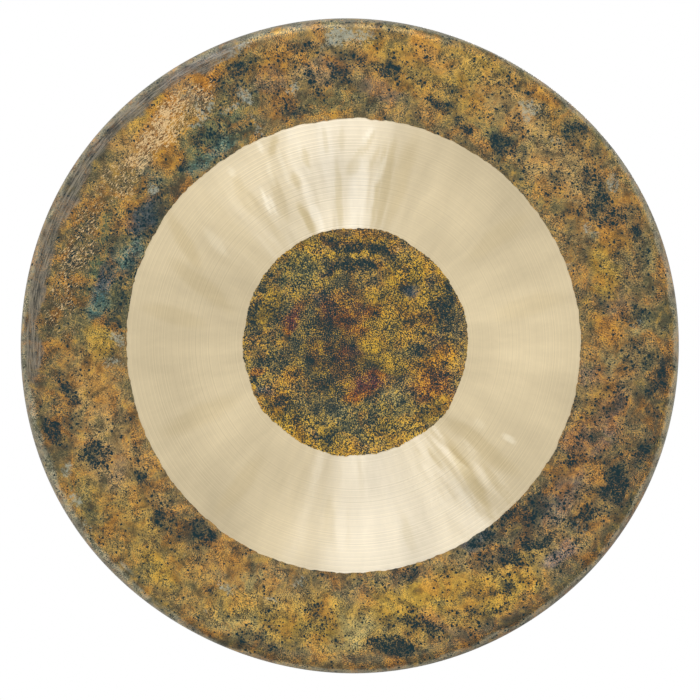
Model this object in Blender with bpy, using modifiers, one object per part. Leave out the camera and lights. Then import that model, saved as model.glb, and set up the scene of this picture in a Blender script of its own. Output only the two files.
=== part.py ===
"""A chau gong: one hammered bronze plate with a domed face, a lathed ring, a turned-back rim and two cord holes.

Metres, +Z up. The gong hangs upright with its face towards -Y. Its origin is on its axis, at half its depth.
The plate is shaped lying down, face up, with its top towards +Y, and is then stood up.
"""

import math

import bmesh
import bpy
from mathutils import Matrix, Vector

# Plate
GONG_RADIUS = 0.3302
RIM_DEPTH = 0.0500
DOME_RISE = 0.0060
WALL = 0.0022
SHOULDER_RADIUS = 0.0140
RIM_LEAN = math.radians(4.0)

# Hammered out of round: number of lobes, height of each, direction of the first, anticlockwise from the right
RIM_LOBES = (
    (2, 0.0015, math.radians(-15.0)),
    (4, 0.0006, math.radians(27.0)),
    (6, 0.0005, math.radians(30.0)),
)

# Lathed ring, turned a little off the plate's own centre
RING_INNER_RADIUS = 0.1138
RING_OUTER_RADIUS = 0.2283
LATHE_DEPTH = 0.0004
LATHE_CENTRE_RIGHT = 0.0040
LATHE_CENTRE_UP = 0.0015

# Cord holes, drilled through the rim on both sides of the top
CORD_HOLE_DIAMETER = 0.0080
CORD_HOLE_SPACING = 0.2000
CORD_HOLE_FROM_EDGE = 0.0220

# Spare length of a cutter outside what it cuts
CUT_PAST = 0.0040

# Fineness of the facets
ROUND_STEPS = 120
DOME_STEPS = 7
SHOULDER_STEPS = 7
HOLE_STEPS = 20
SMOOTH_UNDER = math.radians(30.0)

# Worked out from the sizes above
DEPTH = RIM_DEPTH + DOME_RISE
CROWN_Z = DEPTH / 2
EDGE_Z = -DEPTH / 2
SHOULDER_CENTRE_RADIUS = GONG_RADIUS - SHOULDER_RADIUS
SHOULDER_CENTRE_Z = CROWN_Z - DOME_RISE - SHOULDER_RADIUS
FACE_LEAN = 2 * math.atan(DOME_RISE / SHOULDER_CENTRE_RADIUS)
DOME_RADIUS = SHOULDER_RADIUS + SHOULDER_CENTRE_RADIUS / math.sin(FACE_LEAN)


def clear_scene():
    for obj in list(bpy.data.objects):
        bpy.data.objects.remove(obj, do_unlink=True)


def new_collection(name):
    collection = bpy.data.collections.new(name)
    bpy.context.scene.collection.children.link(collection)
    return collection


def new_object(name, mesh, collection):
    obj = bpy.data.objects.new(name, mesh)
    collection.objects.link(obj)
    return obj


def patinated_bronze():
    """Forge-darkened high-tin bronze: ochre brown, half dull, still metal."""
    material = bpy.data.materials.new("patinated_bronze")
    material.use_nodes = True
    shader = material.node_tree.nodes["Principled BSDF"]
    shader.inputs["Base Color"].default_value = (0.27, 0.17, 0.07, 1.0)
    shader.inputs["Metallic"].default_value = 0.8
    shader.inputs["Roughness"].default_value = 0.5
    return material


def profile_mesh(name, points, closed=False):
    """A mesh of edges through (radius, z) points at +X, for a Screw modifier to turn."""
    mesh = bpy.data.meshes.new(name)
    outline = bmesh.new()
    verts = [outline.verts.new((radius, 0.0, z)) for radius, z in points]
    for start, end in zip(verts, verts[1:]):
        outline.edges.new((start, end))
    if closed:
        outline.edges.new((verts[-1], verts[0]))
    outline.to_mesh(mesh)
    outline.free()
    return mesh


def add_screw(obj):
    screw = obj.modifiers.new("turn", "SCREW")
    screw.axis = "Z"
    screw.steps = ROUND_STEPS
    screw.render_steps = ROUND_STEPS
    screw.use_merge_vertices = True
    screw.merge_threshold = 0.00001
    screw.use_smooth_shade = True


def dome_z(radius, depth=0.0):
    """Height of the face's outside at a radius, or of a surface that lies depth under it."""
    sphere = DOME_RADIUS - depth
    return CROWN_Z - DOME_RADIUS + math.sqrt(sphere**2 - radius**2)


def skin_profile():
    """The plate's outside, from the crown over the shoulder and down the rim, a little past its free edge."""
    dome_end = DOME_RADIUS * math.sin(FACE_LEAN)
    points = [(dome_end * i / DOME_STEPS, dome_z(dome_end * i / DOME_STEPS)) for i in range(DOME_STEPS)]
    for i in range(SHOULDER_STEPS + 1):
        turned = FACE_LEAN + (math.pi / 2 + RIM_LEAN - FACE_LEAN) * i / SHOULDER_STEPS
        points.append(
            (
                SHOULDER_CENTRE_RADIUS + SHOULDER_RADIUS * math.sin(turned),
                SHOULDER_CENTRE_Z + SHOULDER_RADIUS * math.cos(turned),
            )
        )
    end_z = EDGE_Z - CUT_PAST
    points.append((rim_outside_radius(end_z), end_z))
    return points


def rim_outside_radius(z):
    """Radius of the round plate's rim at a height under its shoulder, before it is hammered out of round."""
    turned = math.pi / 2 + RIM_LEAN
    start_radius = SHOULDER_CENTRE_RADIUS + SHOULDER_RADIUS * math.sin(turned)
    start_z = SHOULDER_CENTRE_Z + SHOULDER_RADIUS * math.cos(turned)
    return start_radius - (start_z - z) * math.tan(RIM_LEAN)


def lobe_height(angle):
    """How far the rim stands outside its mean circle, in a direction anticlockwise from the right."""
    return sum(height * math.cos(count * (angle - first)) for count, height, first in RIM_LOBES)


def hammer_out_of_round(mesh):
    """Moves each point outwards by the rim's lobes, which fade towards the middle of the face."""
    for vertex in mesh.vertices:
        radius = math.hypot(vertex.co.x, vertex.co.y)
        if radius > 0.0:
            reach = min(radius / GONG_RADIUS, 1.0) ** 2
            stretch = 1.0 + reach * lobe_height(math.atan2(vertex.co.y, vertex.co.x)) / radius
            vertex.co.x *= stretch
            vertex.co.y *= stretch


def turned_skin(collection):
    """The plate's outside as an open surface: a turned profile, hammered out of round."""
    turned = new_object("skin_profile", profile_mesh("skin_profile", skin_profile()), collection)
    add_screw(turned)
    bpy.context.view_layer.update()
    evaluated = turned.evaluated_get(bpy.context.evaluated_depsgraph_get())
    skin = bpy.data.meshes.new_from_object(evaluated)
    skin.name = "gong_plate"
    bpy.data.objects.remove(turned, do_unlink=True)
    hammer_out_of_round(skin)
    return skin


def as_cutter(obj):
    obj.hide_render = True
    obj.display_type = "WIRE"
    return obj


def drum_cutter(name, radius, length, steps, collection):
    """A closed round cutter, centred on its own origin, with its axis along Z."""
    mesh = bpy.data.meshes.new(name)
    drum = bmesh.new()
    bmesh.ops.create_cone(
        drum, cap_ends=True, segments=steps, radius1=radius, radius2=radius, depth=length
    )
    drum.to_mesh(mesh)
    drum.free()
    return as_cutter(new_object(name, mesh, collection))


def edge_trim(collection):
    """Cuts the rim's free edge flat."""
    length = 2 * CUT_PAST
    trim = drum_cutter("edge_trim", GONG_RADIUS + 2 * CUT_PAST, length, ROUND_STEPS, collection)
    trim.location.z = EDGE_Z - length / 2
    return trim


def lathe_cut(collection):
    """Takes the dark skin off a ring of the face, as a lathe does."""
    width = RING_OUTER_RADIUS - RING_INNER_RADIUS
    radii = [RING_INNER_RADIUS + width * i / DOME_STEPS for i in range(DOME_STEPS + 1)]
    floor = [(radius, dome_z(radius, LATHE_DEPTH)) for radius in reversed(radii)]
    above = CROWN_Z + CUT_PAST
    points = [(RING_INNER_RADIUS, above), (RING_OUTER_RADIUS, above), *floor]
    cut = new_object("lathe_cut", profile_mesh("lathe_cut", points, closed=True), collection)
    cut.location = (LATHE_CENTRE_RIGHT, LATHE_CENTRE_UP, 0.0)
    add_screw(cut)
    return as_cutter(cut)


def cord_holes(collection):
    """Drills the two cord holes through the rim, square to its outline's middle line."""
    drills = []
    height = EDGE_Z + CORD_HOLE_FROM_EDGE
    round_middle = rim_outside_radius(height) - WALL / 2
    turned = math.asin(CORD_HOLE_SPACING / 2 / round_middle)
    for name, side in (("cord_hole_left", -1), ("cord_hole_right", 1)):
        angle = math.pi / 2 - side * turned
        out = Vector((math.cos(angle), math.sin(angle), 0.0))
        wall_middle = round_middle + lobe_height(angle)
        drill = drum_cutter(name, CORD_HOLE_DIAMETER / 2, WALL + 2 * CUT_PAST, HOLE_STEPS, collection)
        drill.rotation_euler = out.to_track_quat("Z", "Y").to_euler()
        drill.location = out * wall_middle + Vector((0.0, 0.0, height))
        drills.append(drill)
    return drills


def gong_plate(plate_collection, cutter_collection, standing):
    """The whole plate: the hammered skin given its wall, trimmed, lathed and drilled."""
    skin = turned_skin(plate_collection)
    skin.materials.append(patinated_bronze())
    plate = new_object("gong_plate", skin, plate_collection)
    plate.parent = standing
    wall = plate.modifiers.new("wall", "SOLIDIFY")
    wall.thickness = WALL
    wall.offset = -1.0
    wall.use_even_offset = True
    for cutter in (edge_trim(cutter_collection), lathe_cut(cutter_collection), *cord_holes(cutter_collection)):
        cutter.parent = standing
        cut = plate.modifiers.new(cutter.name, "BOOLEAN")
        cut.operation = "DIFFERENCE"
        cut.object = cutter
    skin.shade_smooth()
    skin.set_sharp_from_angle(angle=SMOOTH_UNDER)
    return plate


def main():
    clear_scene()
    plate_collection = new_collection("chau_gong")
    cutter_collection = new_collection("cutters")
    standing = new_object("standing", None, plate_collection)
    standing.matrix_world = Matrix.Rotation(math.pi / 2, 4, "X")
    gong_plate(plate_collection, cutter_collection, standing)
    bpy.context.view_layer.update()


main()
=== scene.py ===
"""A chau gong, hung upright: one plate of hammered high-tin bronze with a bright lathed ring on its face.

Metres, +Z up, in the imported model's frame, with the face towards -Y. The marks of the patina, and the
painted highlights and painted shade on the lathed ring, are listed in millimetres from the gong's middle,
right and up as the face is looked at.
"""

import logging
import math
from dataclasses import dataclass
from enum import Enum

import bpy
import numpy as np
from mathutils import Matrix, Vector


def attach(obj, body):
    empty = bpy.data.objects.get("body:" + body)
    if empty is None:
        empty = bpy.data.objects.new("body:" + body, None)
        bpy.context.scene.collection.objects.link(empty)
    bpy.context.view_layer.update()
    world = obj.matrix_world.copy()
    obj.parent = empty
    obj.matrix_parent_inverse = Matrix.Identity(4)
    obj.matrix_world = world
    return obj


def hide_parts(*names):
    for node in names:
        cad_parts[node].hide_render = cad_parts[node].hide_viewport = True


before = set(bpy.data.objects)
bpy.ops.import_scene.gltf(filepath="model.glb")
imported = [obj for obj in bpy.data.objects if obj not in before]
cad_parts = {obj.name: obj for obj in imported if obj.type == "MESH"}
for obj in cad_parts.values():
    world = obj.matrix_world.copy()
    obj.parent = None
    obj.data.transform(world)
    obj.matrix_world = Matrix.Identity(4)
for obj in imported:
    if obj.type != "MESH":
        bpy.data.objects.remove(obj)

log = logging.getLogger("chau_gong")

MM = 0.001
RIM_MM = 330.0  # how far the rim lies from the gong's middle
Nodes = bpy.types.NodeTree
Signal = bpy.types.NodeSocket | bpy.types.Node  # a node stands for its first output


def linear(code: str) -> tuple[float, float, float, float]:
    """Turns an sRGB hex colour to the linear values that a shader reads.

    Args:
        code: the colour as "#RRGGBB".

    Returns:
        Linear red, green and blue, and an alpha of 1.
    """
    parts = [int(code[i : i + 2], 16) / 255.0 for i in (1, 3, 5)]
    red, green, blue = (p / 12.92 if p <= 0.04045 else ((p + 0.055) / 1.055) ** 2.4 for p in parts)
    return red, green, blue, 1.0


def add_node(tree: Nodes, kind: str, inputs: dict | None = None, **settings: object) -> bpy.types.Node:
    """Adds a shader node, sets it up and joins it to what feeds it.

    Args:
        tree: the node tree that gets the node.
        kind: the node's type, without its "ShaderNode" prefix.
        inputs: for each input, by name or number, a value, or the node or output socket that feeds it.
        **settings: the node's own properties.

    Returns:
        The new node.
    """
    node = tree.nodes.new("ShaderNode" + kind)
    for name, value in settings.items():
        setattr(node, name, value)
    for name, value in (inputs or {}).items():
        if isinstance(value, bpy.types.Node):
            value = value.outputs[0]
        if isinstance(value, bpy.types.NodeSocket):
            tree.links.new(value, node.inputs[name])
        else:
            node.inputs[name].default_value = value
    return node


def per_metre(size_mm: float) -> float:
    """The scale at which a texture's cells are that many millimetres wide."""
    return 1.0 / (size_mm * MM)


def coated(
    tree: Nodes, colour: Signal, pattern: Signal, span: tuple[float, float], most: float, coat: str
) -> Signal:
    """Lays a coat over a colour where a pattern says so.

    Args:
        tree: the material's node tree.
        colour: what the coat is laid on.
        pattern: the values that place the coat.
        span: the values of the pattern at which the coat starts and is full.
        most: how much a full coat covers, from 0 to 1.
        coat: the coat's sRGB colour.

    Returns:
        The colour with the coat.
    """
    start, full = span
    cover = add_node(
        tree, "MapRange", {"Value": pattern, "From Min": start, "From Max": full, "To Max": most}
    )
    return add_node(tree, "Mix", {0: cover, 6: colour, 7: linear(coat)}, data_type="RGBA").outputs[2]


def new_material(name: str) -> tuple[bpy.types.Material, Nodes, bpy.types.Node]:
    """Makes an empty material.

    Args:
        name: what the real material is.

    Returns:
        The material, its node tree and its output node.
    """
    material = bpy.data.materials.new(name)
    material.use_nodes = True
    tree = material.node_tree
    tree.nodes.clear()
    return material, tree, add_node(tree, "OutputMaterial")


def smooth_noise(points: np.ndarray, seed: int) -> np.ndarray:
    """Smooth noise with cells one unit wide, for moving and tinting points in code.

    Args:
        points: one row of coordinates for each point.
        seed: picks the pattern.

    Returns:
        One value from -1 to 1 for each point.
    """
    base = np.floor(points).astype(np.int64)
    part = points - base
    ease = part * part * (3.0 - 2.0 * part)
    total = np.zeros(len(points))
    steps = np.array((73856093, 19349663, 83492791))[: points.shape[1]]
    # Large odd numbers scatter the bits, so that neighbouring cells get values that look like chance
    for corner in np.ndindex(*(2,) * points.shape[1]):
        mixed = (base + corner) @ steps + seed * 2654435761
        mixed = (mixed ^ (mixed >> 15)) * 2246822519
        mixed = (mixed ^ (mixed >> 13)) * 3266489917
        value = ((mixed ^ (mixed >> 16)) & 0xFFFF) / 32767.5 - 1.0
        total += value * np.prod(np.where(corner, ease, 1.0 - ease), axis=1)
    return total


def places_of(mesh: bpy.types.Mesh) -> np.ndarray:
    """The places of a mesh's points, a row of x, y and z for each."""
    flat = np.zeros(len(mesh.vertices) * 3)
    mesh.vertices.foreach_get("co", flat)
    return flat.reshape(-1, 3)


def wandering(spots: np.ndarray, waves: tuple[tuple, ...], seed: int) -> np.ndarray:
    """Noise of several sizes, one on top of the other.

    Args:
        spots: one row of coordinates for each point.
        waves: the height and the width of each size of noise, with one width or a width each way.
        seed: picks the first pattern. Each further one takes the next seed.

    Returns:
        The sum of the noises for each point.
    """
    return sum(
        height * smooth_noise(spots / width, seed + step) for step, (height, width) in enumerate(waves)
    )


def pick_only(obj: bpy.types.Object) -> None:
    """Deselects everything, then selects one object and makes it active.

    Args:
        obj: the object that the next operators act on.
    """
    bpy.ops.object.select_all(action="DESELECT")
    obj.select_set(True)
    bpy.context.view_layer.objects.active = obj


class Zone(Enum):
    """Which finish a face of the plate takes."""

    CENTRE = 0
    RING = 1
    BAND = 2
    RIM = 3
    EDGE = 4
    BACK = 5


class Patina(Enum):
    """Colours that heat and salts leave on bronze."""

    EARTH = "#87724A"
    GOLD = "#B6923A"
    ORANGE = "#AE7A30"
    OLIVE = "#716F48"
    GREEN = "#52684E"
    UMBER = "#584C3A"
    SMOKE = "#353A36"
    MAUVE = "#766257"
    LILAC = "#857A76"
    BLUE = "#3C5564"
    TEAL = "#47756F"
    WINE = "#6E3C3C"
    RUST = "#A05A28"
    STRAW = "#A69B66"
    SAND = "#AC8E5A"
    AMBER = "#B8932F"
    PEWTER = "#625E54"
    ASH = "#A5A188"


class Mark(Enum):
    """What a stroke leaves on the plate besides its colour."""

    SOOT = "soot"
    PALE = "pale"
    FLECK = "fleck"
    DRAWN = "drawn"
    BEATEN = "beaten"
    # Painted shade and painted highlights on the lathed ring, where the lamps' fans break up and shine
    PAINTED_FAN_SHADE = "dull"
    PAINTED_HIGHLIGHT = "shine"


SOFT_END = 1.4  # where a stroke's soft edge ends, and how wide it is, as shares of the stroke's own size
SOFT_WIDTH = 0.8


@dataclass(frozen=True)
class Stroke:
    """One soft oval of patina or of painted light and shade, in millimetres and degrees.

    A tint lays its colour. The finish lays the marks: soot, pale salt, scraped flecks, the streaks of a skin
    drawn round the rim, the waves of a ring beaten after the lathe, and painted highlights and painted shade
    on that ring.
    """

    kind: Patina | Mark
    right: float
    up: float
    half_length: float
    half_width: float
    lean: float
    strength: float

    def cover(self, right: np.ndarray, up: np.ndarray) -> np.ndarray:
        """How much of the stroke lies on each point.

        Args:
            right: the points' places to the right, in millimetres.
            up: the points' places upwards, in millimetres.

        Returns:
            A value from 0 to the stroke's strength for each point.
        """
        turn = math.radians(self.lean)
        aside, above = right - self.right, up - self.up
        along = (aside * math.cos(turn) + above * math.sin(turn)) / self.half_length
        across = (above * math.cos(turn) - aside * math.sin(turn)) / self.half_width
        edge = np.clip((SOFT_END - np.hypot(along, across)) / SOFT_WIDTH, 0.0, 1.0)
        return self.strength * edge * edge * (3.0 - 2.0 * edge)


def laid(kind: Patina | Mark, *rows: tuple[float, float, float, float, float, float]) -> tuple[Stroke, ...]:
    """Strokes of one kind, each from a row of right, up, half length, half width, lean and strength."""
    return tuple(Stroke(kind, *row) for row in rows)


UPPER_LEFT = (
    Stroke(Patina.OLIVE, -190, 170, 110, 30, 48, 0.5),
    Stroke(Patina.GREEN, -150, 205, 60, 14, 42, 0.35),
    Stroke(Patina.OLIVE, -278, 58, 46, 24, 78, 0.6),
    Stroke(Patina.UMBER, -262, 110, 40, 16, 68, 0.5),
    *laid(Patina.SAND, (-214, 214, 46, 12, 45, 0.6), (-34, 286, 56, 20, 8, 0.5)),
    Stroke(Patina.ORANGE, -208, 200, 90, 24, 48, 0.3),
    Stroke(Patina.SMOKE, -222, 160, 44, 14, 55, 0.3),
    Stroke(Patina.UMBER, -280, 80, 115, 30, 75, 0.45),
    Stroke(Patina.OLIVE, -262, 60, 80, 40, 75, 0.6),
    Stroke(Patina.SMOKE, -232, 60, 60, 16, 75, 0.45),
    Stroke(Patina.GREEN, -225, 60, 60, 20, 75, 0.35),
    Stroke(Patina.OLIVE, -105, 262, 40, 30, 20, 0.6),
    Stroke(Patina.ORANGE, -159, 262, 48, 14, 38, 0.7),
    Stroke(Patina.GOLD, -205, 236, 34, 10, 45, 0.6),
    Stroke(Patina.RUST, -176, 226, 60, 20, 46, 0.35),
    *laid(Patina.TEAL, (-168, 252, 10, 16, 46, 0.5), (-206, 176, 12, 20, 40, 0.35)),
    Stroke(Patina.ORANGE, -64, 285, 36, 16, 12, 0.65),
    *laid(Patina.MAUVE, (-32, 275, 28, 9, 12, 0.7), (-80, 265, 14, 14, 0, 0.5)),
    Stroke(Patina.SMOKE, -55, 237, 18, 14, 20, 0.6),
    Stroke(Patina.OLIVE, -14, 248, 30, 12, 5, 0.7),
    Stroke(Patina.ORANGE, -14, 233, 24, 4, 4, 0.7),
    Stroke(Patina.GREEN, -132, 208, 40, 20, 35, 0.7),
    *laid(Patina.TEAL, (-134, 190, 24, 6, 35, 0.7), (-158, 180, 10, 6, 45, 0.6)),
    Stroke(Patina.ORANGE, -186, 184, 18, 12, 40, 0.6),
    Stroke(Patina.UMBER, -176, 152, 26, 13, 48, 0.85),
    Stroke(Patina.SMOKE, -172, 146, 18, 8, 48, 0.6),
    Stroke(Patina.BLUE, -205, 130, 16, 13, 40, 0.75),
    Stroke(Patina.UMBER, -219, 108, 13, 12, 0, 0.8),
    Stroke(Patina.GREEN, -251, 92, 44, 12, 76, 0.9),
    Stroke(Patina.BLUE, -241, 68, 34, 8, 68, 0.85),
    *laid(Patina.TEAL, (-217, 92, 22, 9, 70, 0.8), (-252, 38, 14, 8, 60, 0.8)),
    Stroke(Patina.SMOKE, -236, 28, 17, 10, 20, 0.7),
    Stroke(Patina.GOLD, -250, 2, 22, 14, 60, 0.75),
    *laid(Patina.SAND, (-36, 274, 22, 10, 8, 0.45), (-106, 255, 18, 10, 22, 0.35)),
    Stroke(Patina.GOLD, -168, 219, 26, 10, 46, 0.35),
    Stroke(Patina.SAND, -238, 183, 30, 10, 52, 0.4),
    Stroke(Patina.OLIVE, -230, 95, 22, 9, 68, 0.4),
    *laid(
        Patina.UMBER,
        (-256, 106, 26, 12, 68, 0.45), (-282, 40, 44, 20, 82, 0.5), (-95, 230, 20, 8, 24, 0.4),
    ),
)

UPPER_RIGHT = (
    *laid(Patina.GOLD, (110, 262, 110, 34, -26, 0.4), (84, 288, 60, 14, -16, 0.5)),
    Stroke(Patina.ORANGE, 66, 295, 40, 15, -14, 0.7),
    Stroke(Patina.GOLD, 131, 272, 40, 16, -28, 0.8),
    Stroke(Patina.ORANGE, 186, 245, 30, 14, -38, 0.6),
    Stroke(Patina.OLIVE, 178, 168, 50, 14, -48, 0.5),
    *laid(
        Patina.SAND,
        (205, 190, 62, 18, -46, 0.75), (160, 245, 40, 16, -34, 0.6), (176, 186, 34, 12, -46, 0.5),
        (70, 292, 60, 12, -14, 0.5),
    ),
    Stroke(Patina.MAUVE, 30, 255, 24, 10, -10, 0.5),
    Stroke(Patina.GREEN, 150, 215, 30, 14, -30, 0.5),
    *laid(
        Patina.STRAW,
        (290, 22, 15, 9, 60, 0.65), (303, 70, 36, 5, -78, 0.6), (246, 104, 12, 7, -60, 0.55),
    ),
    *laid(Patina.ORANGE, (263, 100, 18, 12, 0, 0.65), (257, 20, 20, 18, 0, 0.55)),
    Stroke(Patina.UMBER, 240, 50, 20, 10, 0, 0.45),
    *laid(Patina.SAND, (219, 168, 32, 12, -50, 0.5), (168, 219, 32, 14, -36, 0.5)),
    Stroke(Patina.GOLD, 39, 297, 24, 8, -8, 0.5),
    Stroke(Patina.UMBER, 106, 255, 22, 10, -24, 0.3),
    *laid(Patina.GOLD, (252, 74, 26, 15, -70, 0.7), (300, 140, 22, 8, -62, 0.5)),
    Stroke(Patina.ORANGE, 245, 30, 18, 10, -80, 0.5),
    Stroke(Patina.MAUVE, 270, 45, 16, 12, 0, 0.4),
    Stroke(Patina.UMBER, 305, 60, 30, 10, -78, 0.5),
)

LOWER_LEFT = (
    *laid(Patina.GOLD, (-215, -190, 90, 40, -45, 0.35), (-60, -275, 80, 30, -10, 0.6)),
    *laid(Patina.UMBER, (-300, -60, 60, 14, -78, 0.5), (-292, 60, 60, 14, 78, 0.45)),
    *laid(Patina.SAND, (-248, -78, 66, 24, -72, 0.8), (-40, -262, 56, 16, -8, 0.6)),
    Stroke(Patina.OLIVE, -262, -152, 40, 12, -60, 0.5),
    Stroke(Patina.UMBER, -176, -176, 34, 12, -45, 0.6),
    Stroke(Patina.SMOKE, -160, -178, 30, 8, -42, 0.5),
    *laid(Patina.UMBER, (-219, -78, 18, 5, -60, 0.8), (-235, -62, 16, 5, -65, 0.6)),
    Stroke(Patina.MAUVE, -240, -120, 20, 12, -60, 0.5),
    Stroke(Patina.GOLD, -194, -225, 26, 14, -45, 0.75),
    *laid(Patina.ORANGE, (-255, -35, 22, 14, -75, 0.5), (-120, -215, 26, 10, -35, 0.45)),
    Stroke(Patina.STRAW, -110, -285, 26, 12, -20, 0.5),
    Stroke(Patina.UMBER, -14, -234, 16, 9, 0, 0.45),
    Stroke(Patina.STRAW, -99, -236, 20, 8, 24, 0.5),
    *laid(Patina.SAND, (-255, -106, 26, 14, -68, 0.5), (-197, -151, 20, 9, -52, 0.4)),
    Stroke(Patina.GOLD, -30, -272, 50, 22, -6, 0.6),
    *laid(Patina.UMBER, (-238, -183, 24, 9, -52, 0.35), (-88, -302, 34, 8, -16, 0.5)),
)

LOWER_RIGHT = (
    Stroke(Patina.GOLD, 90, -262, 100, 30, 16, 0.55),
    *laid(
        Patina.UMBER,
        (176, -176, 66, 18, 44, 0.6), (216, -125, 44, 16, 58, 0.5), (236, -92, 46, 16, 66, 0.6),
        (252, 22, 34, 20, -80, 0.35),
    ),
    Stroke(Patina.GOLD, 150, -226, 30, 12, 34, 0.6),
    Stroke(Patina.SAND, 172, -216, 34, 14, 38, 0.6),
    Stroke(Patina.UMBER, 275, -80, 90, 36, 68, 0.5),
    *laid(
        Patina.MAUVE,
        (262, -65, 30, 14, 60, 0.65), (240, -95, 32, 16, 50, 0.7), (245, -25, 32, 9, 5, 0.55),
    ),
    *laid(Patina.LILAC, (216, -150, 30, 16, 50, 0.4), (212, -209, 16, 7, 38, 0.7)),
    *laid(Patina.ORANGE, (225, -120, 22, 12, 60, 0.45), (252, -200, 22, 14, 45, 0.5)),
    *laid(Patina.GOLD, (268, -175, 16, 8, 55, 0.5), (161, -247, 28, 16, 25, 0.75)),
    Stroke(Patina.ORANGE, 118, -250, 26, 15, 20, 0.7),
    Stroke(Patina.GOLD, 55, -258, 30, 14, 8, 0.7),
    Stroke(Patina.STRAW, 8, -282, 22, 13, 5, 0.7),
    Stroke(Patina.MAUVE, 95, -280, 26, 6, -25, 0.45),
    Stroke(Patina.SMOKE, 185, -160, 26, 14, 40, 0.55),
    Stroke(Patina.BLUE, 126, -194, 16, 9, 20, 0.7),
    *laid(Patina.UMBER, (52, -226, 22, 9, -18, 0.8), (18, -238, 9, 17, 10, 0.6)),
    Stroke(Patina.STRAW, -2, -298, 20, 7, 0, 0.55),
    Stroke(Patina.GOLD, 168, -222, 34, 14, 38, 0.55),
    *laid(Patina.ORANGE, (250, -60, 40, 14, 74, 0.4), (236, -150, 30, 10, 52, 0.4)),
    Stroke(Patina.SAND, 276, -30, 18, 12, 84, 0.4),
    Stroke(Patina.STRAW, 266, -14, 10, 12, 0, 0.45),
    *laid(Patina.GOLD, (60, -256, 44, 14, 12, 0.45), (110, -238, 34, 12, 24, 0.4)),
)

MIDDLE = (
    Stroke(Patina.EARTH, 5, 4, 130, 130, 0, 1.0),
    Stroke(Patina.OLIVE, -50, 10, 70, 90, 0, 0.5),
    Stroke(Patina.SMOKE, -2, -2, 44, 60, 10, 0.85),
    Stroke(Patina.OLIVE, 72, 12, 34, 26, 60, 0.6),
    *laid(
        Patina.AMBER,
        (-30, -94, 50, 16, -20, 0.7), (-72, -66, 26, 18, -50, 0.5), (70, 60, 34, 26, -45, 0.5),
        (-48, 92, 22, 14, 35, 0.6),
    ),
    *laid(Patina.GOLD, (38, 26, 32, 30, 30, 0.8), (60, 66, 30, 20, -40, 0.7)),
    Stroke(Patina.OLIVE, -55, 75, 24, 18, 20, 0.7),
    *laid(Patina.UMBER, (-88, 24, 30, 16, 85, 0.55), (-45, -10, 30, 22, 0, 0.35)),
    *laid(Patina.SMOKE, (4, 99, 38, 7, -8, 0.8), (2, 80, 28, 6, 4, 0.8)),
    Stroke(Patina.GOLD, -10, 110, 15, 4, 0, 0.9),
    Stroke(Patina.ORANGE, 18, 111, 18, 4, -5, 0.8),
    Stroke(Patina.GOLD, 0, 91, 25, 4, 0, 1.0),
    Stroke(Patina.WINE, -22, 78, 10, 3, 28, 0.6),
    Stroke(Patina.GOLD, -20, 71, 14, 3, 22, 0.9),
    Stroke(Patina.SMOKE, 92, 42, 26, 15, 80, 0.9),
    *laid(Patina.RUST, (-2, 28, 12, 8, -10, 0.8), (12, 16, 9, 7, 0, 0.8)),
    Stroke(Patina.WINE, -2, 36, 26, 12, 0, 0.8),
    Stroke(Patina.RUST, 24, 34, 10, 7, 0, 0.7),
    Stroke(Patina.WINE, 4, -10, 16, 14, 60, 0.6),
    *laid(Patina.GOLD, (24, 6, 13, 10, 0, 1.0), (38, -18, 26, 10, -10, 0.9)),
    Stroke(Patina.WINE, -53, 26, 12, 7, 60, 0.95),
    Stroke(Patina.RUST, -61, 15, 4, 4, 0, 0.9),
    Stroke(Patina.WINE, 19, -40, 20, 11, 25, 1.0),
    *laid(Patina.RUST, (8, -51, 16, 5, 10, 0.9), (27, -30, 9, 3, 10, 0.8)),
    *laid(Patina.ORANGE, (98, -5, 13, 13, 0, 0.95), (76, -20, 18, 11, 20, 0.8)),
    Stroke(Patina.MAUVE, 87, 6, 9, 7, 0, 0.7),
    Stroke(Patina.RUST, 80, -40, 20, 15, 0, 0.75),
    Stroke(Patina.WINE, 98, -54, 12, 9, 50, 0.8),
    Stroke(Patina.GOLD, 82, -62, 20, 12, 40, 0.8),
    Stroke(Patina.OLIVE, 24, -76, 44, 16, 15, 0.7),
    *laid(Patina.STRAW, (-8, -72, 16, 8, 0, 0.5), (44, -55, 10, 9, 0, 0.5)),
    Stroke(Patina.GOLD, 60, -88, 24, 9, 30, 0.7),
    Stroke(Patina.ORANGE, -68, -61, 12, 9, 45, 0.8),
    Stroke(Patina.SMOKE, -68, -60, 8, 5, 45, 0.9),
    Stroke(Patina.ORANGE, -61, -31, 10, 8, -45, 0.9),
    Stroke(Patina.SMOKE, -61, -31, 6, 5, -45, 1.0),
    Stroke(Patina.BLUE, -83, -48, 9, 5, -40, 0.8),
    *laid(Patina.RUST, (-92, -25, 6, 6, 0, 0.8), (-98, -52, 18, 3, -55, 0.6)),
    *laid(
        Patina.BLUE,
        (-38, -88, 7, 5, 0, 0.7), (62, 53, 7, 7, 0, 0.9), (80, 67, 7, 6, 0, 0.7), (-29, 49, 11, 6, 0, 0.5),
    ),
    Stroke(Patina.ORANGE, -98, 52, 10, 3, 60, 0.7),
    *laid(Patina.SMOKE, (4, 34, 14, 11, 0, 0.45), (2, 6, 14, 13, 0, 0.45), (5, -24, 17, 11, 0, 0.55)),
    *laid(Patina.RUST, (4, 26, 13, 6, -10, 0.5), (-4, -6, 8, 6, 30, 0.4)),
    *laid(
        Patina.UMBER,
        (66, 32, 10, 14, 0, 0.45), (67, 2, 12, 12, 0, 0.45), (97, 8, 9, 10, 0, 0.5),
        (62, -26, 12, 9, 0, 0.4),
    ),
    *laid(
        Patina.AMBER,
        (-84, 38, 14, 18, 0, 0.45), (90, 68, 12, 10, 0, 0.5), (62, 68, 12, 10, 0, 0.45),
        (-52, -86, 20, 9, -30, 0.5), (22, 106, 26, 5, -8, 0.5), (34, -86, 18, 8, 10, 0.5),
    ),
)


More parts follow.
